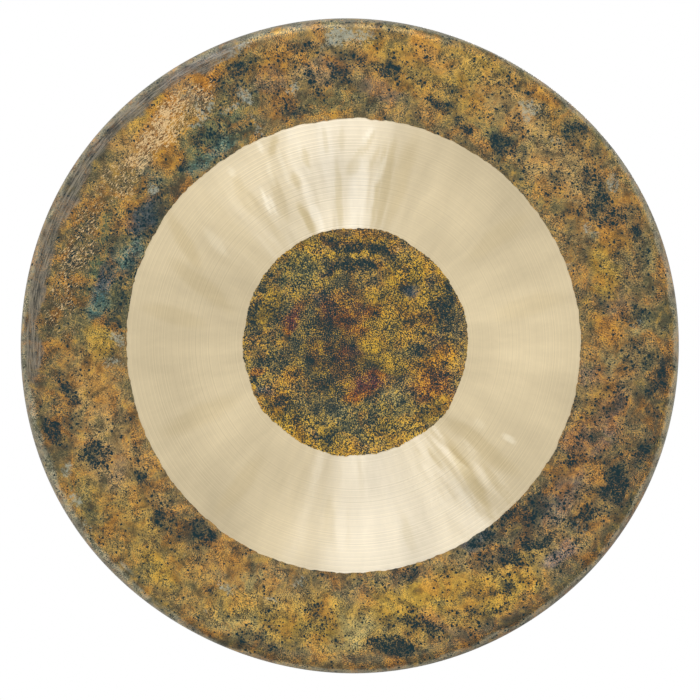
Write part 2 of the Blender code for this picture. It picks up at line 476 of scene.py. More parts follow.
ARC_STEP = 9  # degrees from one stroke of an arc to the next
ARC_LENGTH = 0.13  # half the length of such a stroke, as a share of the arc's radius


def round_strokes(
    kind: Patina | Mark, radius: float, half_width: float, first: int, last: int, strength: float
) -> tuple[Stroke, ...]:
    """Strokes end to end along an arc about the gong's middle.

    Args:
        kind: the colour or mark.
        radius: the arc's radius, in millimetres.
        half_width: half the strokes' width, in millimetres.
        first: the first stroke's direction, in degrees anticlockwise from the right.
        last: the last stroke's direction.
        strength: how strongly they are laid.

    Returns:
        The strokes.
    """
    strokes = []
    for turned in range(first, last, ARC_STEP):
        angle = math.radians(turned)
        right, up = radius * math.cos(angle), radius * math.sin(angle)
        strokes.append(Stroke(kind, right, up, ARC_LENGTH * radius, half_width, turned - 90, strength))
    return tuple(strokes)


SHOULDER = (
    *round_strokes(Patina.PEWTER, 321, 7, 120, 186, 0.7),
    *round_strokes(Mark.DRAWN, 320.5, 7.5, 117, 189, 0.85),
    *round_strokes(Mark.DRAWN, 329, 4, 189, 477, 0.6),
    *round_strokes(Patina.OLIVE, 327, 4, 30, 112, 0.7),
    *round_strokes(Patina.UMBER, 323, 5, 200, 380, 0.35),
    *round_strokes(Patina.UMBER, 317, 8, 278, 362, 0.5),
    *round_strokes(Patina.ASH, 327.5, 3, 0, 360, 0.75),
    *round_strokes(Patina.ASH, 325, 4, 192, 238, 0.9),
    # Partly dark skin and partly painted shade: a dark line along the lower right of the outline
    *round_strokes(Patina.SMOKE, 331, 3, 268, 336, 0.85),
)

SOOT = laid(
    Mark.SOOT,
    # upper left
    (-100, 262, 60, 26, 22, 0.28), (-225, 90, 80, 26, 70, 0.3), (-114, 262, 23, 22, 30, 0.48),
    (-110, 275, 11, 9, 0, 0.62), (-50, 303, 16, 7, 10, 0.75), (-14, 270, 15, 4, 18, 0.79),
    (-41, 266, 6, 10, 0, 0.7), (-55, 237, 14, 11, 20, 0.44), (-132, 210, 31, 14, 35, 0.44),
    (-171, 181, 5, 4, 0, 0.88), (-205, 126, 13, 9, 40, 0.4), (-240, 74, 31, 8, 68, 0.53),
    (-270, 84, 66, 20, 74, 0.3),
    # upper right
    (205, 185, 120, 40, -48, 0.22), (275, 95, 80, 30, -72, 0.22), (20, 275, 90, 28, 0, 0.28),
    (36, 276, 12, 7, 10, 0.79), (82, 262, 16, 5, -20, 0.44), (96, 240, 16, 8, -20, 0.79),
    (116, 219, 13, 6, -25, 0.66), (156, 201, 14, 7, -35, 0.75), (176, 182, 11, 7, -40, 0.44),
    (226, 214, 12, 13, -40, 0.7), (256, 142, 40, 15, -62, 0.53), (291, 100, 14, 11, -70, 0.66),
    (287, 36, 12, 16, 0, 0.45),
    # lower left
    (-172, -178, 40, 12, -45, 0.3), (-284, -45, 20, 8, -60, 0.7), (-299, -85, 18, 7, -65, 0.7),
    (-259, -105, 18, 13, -40, 0.66), (-194, -172, 11, 8, -50, 0.75), (-212, -137, 8, 7, 0, 0.53),
    (-149, -186, 18, 9, -35, 0.7), (-141, -245, 5, 4, 0, 0.79), (-154, -270, 5, 4, 0, 0.7),
    (-42, -267, 10, 9, 0, 0.6), (-90, -296, 30, 10, -16, 0.3),
    # lower right
    (262, -90, 100, 40, 68, 0.22), (170, -205, 90, 40, 42, 0.24), (30, -285, 110, 22, 0, 0.26),
    (234, -96, 46, 14, 66, 0.36), (180, -172, 60, 16, 45, 0.25), (311, -35, 18, 8, 82, 0.75),
    (293, -110, 18, 7, 72, 0.75), (264, -145, 22, 14, 60, 0.84), (238, -168, 14, 9, 40, 0.53),
    (221, -178, 13, 8, 40, 0.7), (190, -193, 18, 8, 22, 0.79), (185, -160, 23, 14, 40, 0.48),
    (154, -176, 13, 14, 0, 0.53), (134, -198, 18, 9, 20, 0.57), (156, -208, 13, 9, 10, 0.75),
    (56, -228, 16, 7, -18, 0.4), (68, -276, 23, 9, -20, 0.8), (36, -276, 30, 12, 0, 0.3),
    (42, -300, 25, 8, -5, 0.75), (104, -292, 18, 5, 20, 0.44), (143, -241, 6, 5, 0, 0.66),
    (116, -259, 5, 4, 0, 0.62), (154, -262, 6, 4, 0, 0.57), (149, -228, 2, 7, 30, 0.79),
    # middle
    (5, 4, 120, 120, 0, 0.36), (-4, 6, 58, 52, 10, 0.42), (72, 12, 34, 26, 60, 0.42),
    (-20, 103, 15, 6, -25, 0.81), (8, 98, 24, 5, -3, 0.7), (33, 92, 15, 6, -25, 0.77),
    (-20, 80, 11, 4, 28, 0.81), (8, 79, 18, 7, 2, 0.72), (92, 38, 28, 15, 80, 0.66),
    (-2, 32, 26, 20, 20, 0.56), (-5, -12, 20, 24, 0, 0.63), (-35, 22, 10, 8, 0, 0.59),
    (70, -8, 12, 10, 0, 0.59), (84, -32, 14, 10, 30, 0.55), (-15, -88, 16, 8, 0, 0.59),
    (-55, -62, 24, 18, -40, 0.51), (-68, -60, 9, 6, 45, 0.85), (-61, -31, 8, 6, -45, 0.85),
    (-92, -36, 11, 4, -60, 0.68), (-83, -11, 8, 3, -45, 0.68), (62, 53, 7, 7, 0, 0.59),
    (80, 67, 8, 7, 0, 0.64), (-100, 40, 9, 14, 0, 0.55), (-84, 62, 14, 8, 50, 0.55),
)

FLECKS = laid(
    Mark.FLECK,
    # upper left
    (-158, 246, 30, 15, 50, 0.85), (-182, 220, 40, 22, 46, 1.0), (-208, 194, 26, 18, 44, 1.0),
    (-232, 165, 36, 20, 52, 0.84), (-272, 92, 88, 22, 70, 0.78), (-282, 30, 40, 18, 85, 0.66),
    (-190, 222, 20, 8, 48, 1.15), (-214, 190, 14, 8, 40, 1.1),
    # middle
    (45, 99, 7, 2, 65, 0.9),
)

SALT = laid(
    Mark.PALE,
    # upper left
    (-99, 247, 13, 8, -60, 0.8), (-119, 237, 10, 5, 20, 0.7), (-142, 240, 3, 16, -15, 0.9),
    (-152, 220, 12, 3, 20, 0.8), (-112, 298, 18, 5, 25, 0.7), (-136, 287, 10, 5, 35, 0.6),
    (-60, 256, 8, 6, 0, 0.6), (-20, 296, 14, 5, 70, 0.5), (-9, 310, 12, 9, 0, 0.95),
    (-198, 152, 8, 6, -40, 0.85), (-96, 222, 5, 14, 10, 0.5), (-215, 98, 14, 6, 60, 0.45),
    (-233, 10, 6, 11, 20, 0.8), (-150, 232, 2.5, 18, 24, 0.8),
    # upper right
    (16, 310, 15, 7, -5, 0.8), (176, 233, 10, 7, -30, 0.75), (205, 205, 9, 5, -40, 0.45),
    (263, 165, 9, 7, -40, 0.65), (241, 115, 10, 8, -60, 0.6), (211, 80, 8, 10, 0, 0.5),
    (286, 20, 8, 7, 0, 0.4),
    # lower left
    (-284, -118, 9, 8, 0, 0.75), (-274, -152, 8, 8, 0, 0.75), (-261, -177, 8, 6, -40, 0.7),
    (-234, -20, 10, 8, 0, 0.6), (-122, -243, 10, 6, -20, 0.6), (-84, -255, 9, 6, -10, 0.6),
    (-150, -262, 8, 4, -20, 0.45), (-57, -232, 8, 4, 20, 0.6),
    # lower right
    (2, -298, 12, 4, 0, 0.4), (228, -182, 8, 6, 0, 0.4),
)

# Painted highlights: brighter streaks laid in the ring's colour where the lamps' fans shine
PAINTED_HIGHLIGHTS = laid(
    Mark.PAINTED_HIGHLIGHT,
    (8, 148, 44, 10, 87, 0.42), (20, 142, 34, 3.5, 82, 0.4), (-50, 182, 46, 7, 106, 0.35),
    (-34, 128, 16, 5, 108, 0.5), (-22, 190, 40, 8, 97, 0.3), (31, 176, 15, 3, 72, 0.8),
    (17, 210, 12, 2.5, 58, 0.5), (-91, 199, 7, 3, 115, 0.7), (-84, 146, 14, 2.5, 112, 1.0),
    (-77, 142, 12, 2, 114, 0.8), (-78, 172, 12, 2.5, 108, 0.5), (-66, 180, 20, 2, 106, 0.4),
    (108, -140, 40, 3, 124, 0.45), (160, -93, 8, 3, 142, 1.0), (130, -78, 6, 4, 145, 0.3),
    (-134, 104, 16, 5, 128, 0.4), (-120, 172, 5, 3, 120, 0.6),
)

# Painted shade: darker streaks laid in the ring's colour where the lamps' fans break up, and a few soft
# darker patches elsewhere on the ring
PAINTED_FAN_SHADES = laid(
    Mark.PAINTED_FAN_SHADE,
    (28, 158, 44, 3, 79.5, 0.75), (36, 160, 46, 5, 77, 0.75), (50, 162, 46, 9, 72, 0.45),
    (-43, 127, 16, 4.5, 116, 1.0), (-12, 152, 36, 3.5, 94, 0.75), (-54, 165, 9, 3.5, 110, 0.7),
    (-43, 187, 10, 3.5, 100, 0.7), (-70, 150, 26, 5, 108, 0.5), (-76, 199, 10, 5, 80, 0.8),
    (-24, 207, 12, 3, 92, 0.55), (-8, 208, 12, 3, 84, 0.4), (3, 180, 11, 6, 66, 0.6),
    (8, 193, 18, 3, 60, 0.55), (18, 203, 16, 2.5, 62, 0.5), (24, 188, 14, 2.5, 66, 0.45),
    (121, -134, 44, 6, 122, 1.0), (150, -140, 30, 5, 126, 0.5), (128, -98, 44, 9, 143, 0.5),
    (86, -111, 13, 3, 118, 0.6), (60, -190, 18, 5, 105, 0.3), (-22, -176, 26, 5, 84, 0.3),
    (-166, 105, 32, 7, 120, 0.45), (-148, 60, 36, 9, 140, 0.35), (-176, 30, 30, 8, 165, 0.3),
    (-105, 150, 26, 6, 124, 0.4), (-150, -70, 40, 10, 25, 0.3), (-110, -140, 36, 9, 52, 0.3),
    (180, 40, 36, 10, 14, 0.25), (150, 110, 36, 9, 38, 0.25),
)

BEATEN = laid(
    Mark.BEATEN,
    (-40, 170, 70, 70, 0, 1.0), (60, -170, 90, 60, 20, 0.5), (120, -130, 50, 60, 40, 0.7),
    (-150, -60, 90, 60, 60, 0.4), (-150, 90, 60, 60, 40, 0.4),
)

TINTS = UPPER_LEFT + UPPER_RIGHT + LOWER_LEFT + LOWER_RIGHT + MIDDLE
STROKES = TINTS + SHOULDER + SOOT + SALT + FLECKS + PAINTED_HIGHLIGHTS + PAINTED_FAN_SHADES + BEATEN


@dataclass(frozen=True)
class Lobe:
    """Waves in a hammered or turned outline: how many, how high in metres, and where the first one points."""

    count: int
    height: float
    first: float

    def reach(self, angle: np.ndarray) -> np.ndarray:
        """How far the wave stands out, by direction anticlockwise from the right, in metres."""
        return self.height * np.cos(self.count * (angle - math.radians(self.first)))


@dataclass(frozen=True)
class RingEdge:
    """An edge of the lathed ring, with its own centre and its own waves."""

    radius: float
    right: float
    up: float
    lobes: tuple[Lobe, ...]
    seed: int
    # Ragged nicks: heights in metres, widths in radians
    nicks: tuple[tuple[float, float], ...] = ((0.6 * MM, 1 / 18.0), (0.7 * MM, 1 / 70.0))

    def reach(self, angle: np.ndarray) -> np.ndarray:
        """How far the edge lies from the gong's middle.

        Args:
            angle: directions anticlockwise from the right, in radians.

        Returns:
            The distance for each direction, in metres.
        """
        ahead = self.right * np.cos(angle) + self.up * np.sin(angle)
        aside = self.up * np.cos(angle) - self.right * np.sin(angle)
        waves = sum(lobe.reach(angle) for lobe in self.lobes)
        turned = np.column_stack((np.cos(angle), np.sin(angle)))
        return ahead + np.sqrt(self.radius**2 - aside**2) + waves + wandering(turned, self.nicks, self.seed)


# How deep the hammer marks are in each finish, and which way. The lathe takes most of them off the ring.
DENTED = {Zone.CENTRE: 1.0, Zone.RING: 0.25, Zone.BAND: 1.0, Zone.BACK: -0.9}


@dataclass(frozen=True)
class GongPlate:
    """The whole gong: domed face, shallow lathed ring, shoulder, turned-back rim, flat edge and back."""

    # Driving sizes, in metres
    radius: float = 0.3302
    rim_depth: float = 0.0500
    dome_rise: float = 0.0060
    wall: float = 0.0022
    shoulder_radius: float = 0.0140
    rim_lean: float = math.radians(4.0)
    ring_inner: float = 0.1138
    ring_outer: float = 0.2283
    lathe_depth: float = 0.0004
    hole_radius: float = 0.0040
    hole_flare: float = 0.0007
    hole_reach: float = 0.0070
    hole_steps: int = 32
    bit_past: float = 0.0040
    hole_spacing: float = 0.2000
    hole_from_edge: float = 0.0220
    edge_bevel: float = 0.0003
    ring_step: float = 0.0002
    # How high the lathed ring waves, and what makes the waves: the share of each noise, and its widths in
    # radians round the gong and in metres outwards
    ring_wave: float = 0.0005
    ring_waves: tuple[tuple[float, tuple[float, ...]], ...] = (
        (0.6, (1 / 9, 1 / 9, 0.25)),
        (0.4, (1 / 19, 1 / 19, 0.15625)),
    )
    # The hammer's blows: how many, how wide and how deep
    blow_count: int = 520
    blow_mm: tuple[float, float] = (9.0, 17.0)
    dent_mm: tuple[float, float] = (0.06, 0.26)
    deepest_mm: float = 0.45
    dent_fade: float = 0.0120
    # How far noise bends the strokes of the patina, and how wide that noise is. In the ring and on the rim a
    # share of it is enough.
    stroke_bend_mm: tuple[tuple[float, float], ...] = ((7.0, 24.0), (3.5, 8.0))
    steady_bend: float = 0.25
    # How finely the plate is cut, round its axis and along each stretch of its section
    turn_steps: int = 560
    centre_steps: int = 36
    ring_steps: int = 37
    band_steps: int = 27
    shoulder_steps: int = 10
    rim_steps: int = 10
    inner_rim_steps: int = 7
    inner_shoulder_steps: int = 6
    inner_dome_steps: int = 25
    merge_under: float = 0.00002
    smooth_under: float = math.radians(35.0)
    # How the outline is hammered out of round, and the ring's two edges as they were turned
    lobes: tuple[Lobe, ...] = (Lobe(2, 0.0015, -15.0), Lobe(4, 0.0006, 27.0), Lobe(6, 0.0005, 30.0))
    inner_edge: RingEdge = RingEdge(
        0.1132,
        0.0052,
        0.0036,
        (
            Lobe(2, 0.0008, -89.0),
            Lobe(3, 0.0007, -17.0),
            Lobe(6, 0.0004, 21.0),
            Lobe(7, 0.0004, 14.0),
            Lobe(10, 0.0004, 0.0),
            Lobe(13, 0.0004, -10.0),
        ),
        3,
    )
    outer_edge: RingEdge = RingEdge(
        0.2276,
        0.0035,
        0.0005,
        (Lobe(3, 0.0007, 16.0), Lobe(4, 0.0005, -19.0), Lobe(5, 0.0002, 12.0)),
        8,
    )

    @property
    def half_depth(self) -> float:
        """Half the gong's depth, from the crown of the face to the rim's free edge."""
        return (self.rim_depth + self.dome_rise) / 2

    @property
    def shoulder_middle(self) -> tuple[float, float]:
        """Radius and y of the middle of the shoulder's round."""
        return self.radius - self.shoulder_radius, self.dome_rise + self.shoulder_radius - self.half_depth

    @property
    def face_lean(self) -> float:
        """How far the face leans where it meets the shoulder, in radians."""
        return 2 * math.atan(self.dome_rise / self.shoulder_middle[0])

    @property
    def dome_radius(self) -> float:
        """Radius of the sphere that the face is part of."""
        return self.shoulder_radius + self.shoulder_middle[0] / math.sin(self.face_lean)

    @property
    def dome_end(self) -> float:
        """Radius at which the face meets the shoulder."""
        return self.dome_radius * math.sin(self.face_lean)

    def face_y(self, radius: np.ndarray, depth: float = 0.0) -> np.ndarray:
        """How far back the face lies.

        Args:
            radius: distances from the gong's axis.
            depth: how far under the outside the surface lies.

        Returns:
            The y of each point.
        """
        return self.dome_radius - self.half_depth - np.sqrt((self.dome_radius - depth) ** 2 - radius**2)

    def shoulder_point(self, turned: float, depth: float = 0.0) -> tuple[float, float]:
        """Radius and y on the shoulder's round, where its normal has turned that far from the axis."""
        radius, y = self.shoulder_middle
        reach = self.shoulder_radius - depth
        return radius + reach * math.sin(turned), y - reach * math.cos(turned)

    def rim_radius(self, y: float, depth: float = 0.0) -> float:
        """Radius of the rim's wall at that y, depth under its outside."""
        start_radius, start_y = self.shoulder_point(math.pi / 2 + self.rim_lean, depth)
        return start_radius - (y - start_y) * math.tan(self.rim_lean)

    def profile(self) -> list[tuple[float, float, Zone]]:
        """The plate's outline in section, from the crown round the rim to the middle of the back.

        Returns:
            Radius, y and the finish of the face that ends there, point by point.
        """
        upright = math.pi / 2 + self.rim_lean
        edge = self.half_depth
        points = [(0.0, self.face_y(0.0), Zone.CENTRE)]
        for radius in np.linspace(0.0, self.ring_inner, self.centre_steps + 1)[1:]:
            points.append((radius, self.face_y(radius), Zone.CENTRE))
        lathed = (self.ring_inner + self.ring_step, self.ring_outer - self.ring_step)
        for radius in np.linspace(*lathed, self.ring_steps + 1):
            points.append((radius, self.face_y(radius, self.lathe_depth), Zone.RING))
        for radius in np.linspace(self.ring_outer, self.dome_end, self.band_steps + 1):
            points.append((radius, self.face_y(radius), Zone.BAND))
        for turned in np.linspace(self.face_lean, upright, self.shoulder_steps + 1)[1:]:
            points.append((*self.shoulder_point(turned), Zone.RIM))
        wall_start = self.shoulder_point(upright)[1]
        for y in np.linspace(wall_start, edge - self.edge_bevel, self.rim_steps + 1)[1:]:
            points.append((self.rim_radius(y), y, Zone.RIM))
        points.append((self.rim_radius(edge) - self.edge_bevel, edge, Zone.EDGE))
        points.append((self.rim_radius(edge, self.wall) + self.edge_bevel, edge, Zone.EDGE))
        wall_start = self.shoulder_point(upright, self.wall)[1]
        for y in np.linspace(edge - self.edge_bevel, wall_start, self.inner_rim_steps + 1):
            points.append((self.rim_radius(y, self.wall), y, Zone.BACK))
        for turned in np.linspace(upright, self.face_lean, self.inner_shoulder_steps + 1)[1:]:
            points.append((*self.shoulder_point(turned, self.wall), Zone.BACK))
        for radius in np.linspace(self.dome_end, 0.0, self.inner_dome_steps + 1)[1:]:
            points.append((radius, self.face_y(radius, self.wall), Zone.BACK))
        return points

    def build(self) -> bpy.types.Object:
        """Models the plate and drills it.

        Returns:
            The finished piece, at the origin.
        """
        plate = self.spun()
        self.sort_faces(plate)
        self.hammer(plate)
        self.paint(plate)
        for side in (-1, 1):
            self.drill(plate, side)
        self.finish_holes(plate)
        pick_only(plate)
        bpy.ops.object.shade_smooth_by_angle(angle=self.smooth_under)
        return plate

    def spun(self) -> bpy.types.Object:
        """Draws the section by extruding one point along it, and spins it about the gong's axis.

        Returns:
            The closed plate, each of its points marked with its place along the section.
        """
        points = self.profile()
        bpy.ops.object.select_all(action="DESELECT")
        bpy.ops.mesh.primitive_plane_add(size=MM, location=(0.0, 0.0, 0.0))
        plate = bpy.context.object
        plate.name = plate.data.name = "hammered_gong_plate"
        bpy.ops.object.mode_set(mode="EDIT")
        bpy.ops.mesh.merge(type="CENTER")
        at = Vector((0.0, 0.0, 0.0))
        bpy.ops.transform.translate(value=(0.0, points[0][1], 0.0))
        at.y = points[0][1]
        for radius, y, _ in points[1:]:
            move = Vector((radius, y, 0.0)) - at
            bpy.ops.mesh.extrude_region_move(TRANSFORM_OT_translate={"value": move})
            at += move
        bpy.ops.object.mode_set(mode="OBJECT")
        mesh = plate.data
        places = np.array([(radius, y) for radius, y, _ in points])
        gaps = np.hypot(*(places_of(mesh)[:, None, :2] - places[None]).transpose(2, 0, 1))
        mesh.attributes.new("place", "FLOAT", "POINT").data.foreach_set("value", gaps.argmin(axis=1))
        bpy.ops.object.mode_set(mode="EDIT")
        bpy.ops.mesh.select_all(action="SELECT")
        bpy.ops.mesh.spin(
            steps=self.turn_steps, angle=math.tau, center=(0.0, 0.0, 0.0), axis=(0.0, 1.0, 0.0)
        )
        bpy.ops.mesh.select_all(action="SELECT")
        bpy.ops.mesh.remove_doubles(threshold=self.merge_under)
        bpy.ops.mesh.normals_make_consistent(inside=False)
        bpy.ops.object.mode_set(mode="OBJECT")
        return plate

    @property
    def section_zones(self) -> np.ndarray:
        """The value of the finish that ends at each point of the section."""
        return np.array([zone.value for _, _, zone in self.profile()], dtype=np.int32)

    @staticmethod
    def section_places(mesh: bpy.types.Mesh) -> np.ndarray:
        """The number, along the section, of each point of the mesh."""
        place = np.zeros(len(mesh.vertices))
        mesh.attributes["place"].data.foreach_get("value", place)
        return place.round().astype(int)

    def zones(self, mesh: bpy.types.Mesh) -> np.ndarray:
        """The value of each point's finish."""
        return self.section_zones[self.section_places(mesh)]

    def sort_faces(self, plate: bpy.types.Object) -> None:
        """Gives each face the slot of its finish.

        Args:
            plate: the spun plate.
        """
        mesh = plate.data
        corner = np.zeros(len(mesh.loops), dtype=np.int32)
        mesh.loops.foreach_get("vertex_index", corner)
        start = np.zeros(len(mesh.polygons), dtype=np.int32)
        mesh.polygons.foreach_get("loop_start", start)
        last = np.maximum.reduceat(self.section_places(mesh)[corner], start)
        for finish in FINISHES.values():
            mesh.materials.append(finish.material())
        mesh.polygons.foreach_set("material_index", self.section_zones[last])

    def hammer(self, plate: bpy.types.Object) -> None:
        """Moves the points as the hammer and the lathe did: out of round, dented, and waved in the ring.

        Args:
            plate: the spun plate, still round.
        """
        mesh = plate.data
        at = places_of(mesh)
        zone = self.zones(mesh)
        radius = np.hypot(at[:, 0], at[:, 2])
        angle = np.arctan2(at[:, 2], at[:, 0])
        out_of_round = sum(lobe.reach(angle) for lobe in self.lobes)
        moved = radius + np.minimum(radius / self.radius, 1.0) ** 2 * out_of_round
        inner, outer = self.inner_edge.reach(angle), self.outer_edge.reach(angle)
        rim_end = self.dome_end + (self.dome_end / self.radius) ** 2 * out_of_round
        face = zone <= Zone.BAND.value
        spans = (
            (0.0, self.ring_inner, 0.0, inner),
            (self.ring_inner, self.ring_outer, inner, outer),
            (self.ring_outer, self.dome_end + MM, outer, rim_end),
        )
        for low, high, to_low, to_high in spans:
            end = min(high, self.dome_end)
            share = (radius - low) / (end - low)
            here = face & (radius >= low) & (radius < high + 0.0001 * MM)
            moved = np.where(here, to_low + share * (to_high - to_low), moved)
        y = at[:, 1].copy()
        y += np.where(face, self.face_y(moved) - self.face_y(radius), 0.0)
        right, up = moved * np.cos(angle), moved * np.sin(angle)
        y += self.dents(right, up, zone)
        around = np.column_stack((np.cos(angle), np.sin(angle), moved))
        waves = wandering(around, self.ring_waves, 21)
        y += np.where(zone == Zone.RING.value, self.ring_wave * (1.0 + waves) / 2, 0.0)
        at[:, 0], at[:, 1], at[:, 2] = right, y, up
        mesh.vertices.foreach_set("co", at.ravel())
        mesh.update()

    def dents(self, right: np.ndarray, up: np.ndarray, zone: np.ndarray) -> np.ndarray:
        """How far the hammer has driven each point of the face and the back inwards.

        Args:
            right: the points' places to the right, in metres.
            up: the points' places upwards, in metres.
            zone: the value of each point's finish.

        Returns:
            The move of each point along y, in metres.
        """
        blows = np.random.default_rng(11)
        reach = self.radius * np.sqrt(blows.random(self.blow_count))
        turn = blows.random(self.blow_count) * math.tau
        sizes = blows.uniform(*self.blow_mm, self.blow_count) * MM
        depths = blows.uniform(*self.dent_mm, self.blow_count) * MM
        dented = np.zeros(len(right))
        for middle, angle, size, depth in zip(reach, turn, sizes, depths):
            gap = ((right - middle * math.cos(angle)) ** 2 + (up - middle * math.sin(angle)) ** 2) / size**2
            dented += depth * np.maximum(1.0 - gap, 0.0) ** 2
        dented = np.minimum(dented, self.deepest_mm * MM)
        share = np.array([DENTED.get(finish, 0.0) for finish in Zone])[zone]
        fade = np.clip((self.dome_end - np.hypot(right, up)) / self.dent_fade, 0.0, 1.0)
        return dented * (share * fade)

    def paint(self, plate: bpy.types.Object) -> None:
        """Lays the strokes of the patina, and the painted highlights and shade of the ring, on the plate's
        points, for the finishes to read.

        Args:
            plate: the hammered plate.
        """
        mesh = plate.data
        at = places_of(mesh)
        spots = at[:, [0, 2]] / MM
        reach = np.hypot(at[:, 0], at[:, 2])
        steady = (reach > self.ring_inner) & (reach < self.ring_outer) | (reach > self.dome_end)
        bend = np.where(steady, self.steady_bend, 1.0)
        right = spots[:, 0] + bend * wandering(spots, self.stroke_bend_mm, 31)
        up = spots[:, 1] + bend * wandering(spots, self.stroke_bend_mm, 33)
        front = self.zones(mesh) != Zone.BACK.value
        colour = np.where(front[:, None], linear(Patina.EARTH.value), linear(Patina.UMBER.value))
        marks = {mark: np.zeros(len(at)) for mark in Mark}
        for stroke in STROKES:
            cover = stroke.cover(right, up) * front
            if isinstance(stroke.kind, Patina):
                colour += cover[:, None] * (np.array(linear(stroke.kind.value)) - colour)
            else:
                marks[stroke.kind] = np.maximum(marks[stroke.kind], cover)
        mesh.attributes.new("patina", "FLOAT_COLOR", "POINT").data.foreach_set("color", colour.ravel())
        for mark, cover in marks.items():
            mesh.attributes.new(mark.value, "FLOAT", "POINT").data.foreach_set("value", cover)

    def hole_axis(self, side: int) -> tuple[Vector, Vector]:
        """Where a cord hole goes through the middle of the rim's wall, and which way it points.

        Args:
            side: -1 for the left hole, 1 for the right one.

        Returns:
            A point on the hole's axis, and the direction out of the rim.
        """
        y = self.half_depth - self.hole_from_edge
        middle = self.rim_radius(y) - self.wall / 2
        angle = math.pi / 2 - side * math.asin(self.hole_spacing / 2 / middle)
        middle += sum(float(lobe.reach(np.array(angle))) for lobe in self.lobes)
        out = Vector((math.cos(angle), 0.0, math.sin(angle)))
        return out * middle + Vector((0.0, y, 0.0)), out

    def drill(self, plate: bpy.types.Object, side: int) -> None:
        """Drills one cord hole, with both its mouths eased by a countersink.

        Args:
            plate: the plate to drill.
            side: -1 for the left hole, 1 for the right one.
        """
        centre, out = self.hole_axis(side)
        bpy.ops.object.select_all(action="DESELECT")
        bpy.ops.mesh.primitive_cylinder_add(
            vertices=self.hole_steps,
            radius=self.hole_radius,
            depth=self.wall - 2 * self.hole_flare,
            location=centre,
            rotation=out.to_track_quat("Z", "Y").to_euler(),
        )
        bit = bpy.context.object
        bpy.ops.object.transform_apply(location=True, rotation=True, scale=True)
        bpy.ops.object.mode_set(mode="EDIT")
        for way in (out, -out):
            for grow, reach in ((self.hole_flare, self.hole_flare), (0.0, self.bit_past)):
                bpy.ops.mesh.select_all(action="DESELECT")
                bpy.ops.object.mode_set(mode="OBJECT")
                end = max(bit.data.polygons, key=lambda face: (face.center - centre).dot(way))
                end.select = True
                bpy.ops.object.mode_set(mode="EDIT")
                bpy.ops.mesh.extrude_region_move(TRANSFORM_OT_translate={"value": way * reach})
                middle = centre + way * self.end_of(bit, centre, way)
                bpy.ops.transform.resize(value=(1.0 + grow / self.hole_radius,) * 3, center_override=middle)
        bpy.ops.object.mode_set(mode="OBJECT")
        pick_only(plate)
        cut = plate.modifiers.new("cord_hole", "BOOLEAN")
        cut.operation = "DIFFERENCE"
        cut.object = bit
        bpy.ops.object.modifier_apply(modifier=cut.name)
        bpy.data.objects.remove(bit, do_unlink=True)

    @staticmethod
    def end_of(bit: bpy.types.Object, centre: Vector, way: Vector) -> float:
        """How far the drill bit reaches from its centre in a direction, in metres."""
        bpy.ops.object.mode_set(mode="OBJECT")
        reach = max((vertex.co - centre).dot(way) for vertex in bit.data.vertices)
        bpy.ops.object.mode_set(mode="EDIT")
        return reach

    def finish_holes(self, plate: bpy.types.Object) -> None:
        """Gives the walls of both cord holes the finish of a cut edge.

        Args:
            plate: the drilled plate.
        """
        mouth = self.hole_radius + self.hole_flare
        for side in (-1, 1):
            centre, out = self.hole_axis(side)
            for face in plate.data.polygons:
                gap = face.center - centre
                if gap.length < self.hole_reach and (gap - out * gap.dot(out)).length < mouth:
                    face.material_index = Zone.EDGE.value


def round_axis(tree: Nodes, where: Signal) -> tuple[Signal, Signal]:
    """Distance from the axis that runs from front to back, and the direction away from it."""
    flat = add_node(tree, "VectorMath", {0: where, 1: (1.0, 0.0, 1.0)}, operation="MULTIPLY")
    radius = add_node(tree, "VectorMath", {0: flat}, operation="LENGTH").outputs["Value"]
    return radius, add_node(tree, "VectorMath", {0: flat}, operation="NORMALIZE")


def noise_round(
    tree: Nodes, outward: Signal, around: float, out: Signal, out_mm: float, detail: float, roughness: float
) -> Signal:
    """Noise laid round the gong's axis, with one scale round it and another outwards.

    Args:
        tree: the material's node tree.
        outward: the direction away from the axis.
        around: how many of the noise's cells lie in a turn of one radian.
        out: how far outwards the point lies.
        out_mm: how long the cells are outwards, in millimetres.
        detail: how many finer noises lie in it.
        roughness: how strong those are.

    Returns:
        The noise, from 0 to 1.
    """
    along = add_node(tree, "Math", {0: out, 1: per_metre(out_mm)}, operation="MULTIPLY")
    turned = add_node(tree, "VectorMath", {0: outward, "Scale": around}, operation="SCALE")
    return add_node(
        tree,
        "TexNoise",
        {"Vector": turned, "W": along, "Scale": 1.0, "Detail": detail, "Roughness": roughness},
        noise_dimensions="4D",
    )


@dataclass(frozen=True)
class Finish:
    """A finish of the plate, named for the real material."""

    name: str

    def shader(self, tree: Nodes, where: Signal) -> bpy.types.Node:
        """The finish's own shader, which each kind of finish builds.

        Args:
            tree: the material's node tree.
            where: the point that is shaded.

        Returns:
            The shader's node.
        """
        raise NotImplementedError

    def material(self) -> bpy.types.Material:
        """Builds the finish.

        Returns:
            The material.
        """
        material, tree, output = new_material(self.name)
        shader = self.shader(tree, add_node(tree, "TexCoord").outputs["Object"])
        tree.links.new(shader.outputs[0], output.inputs[0])
        return material


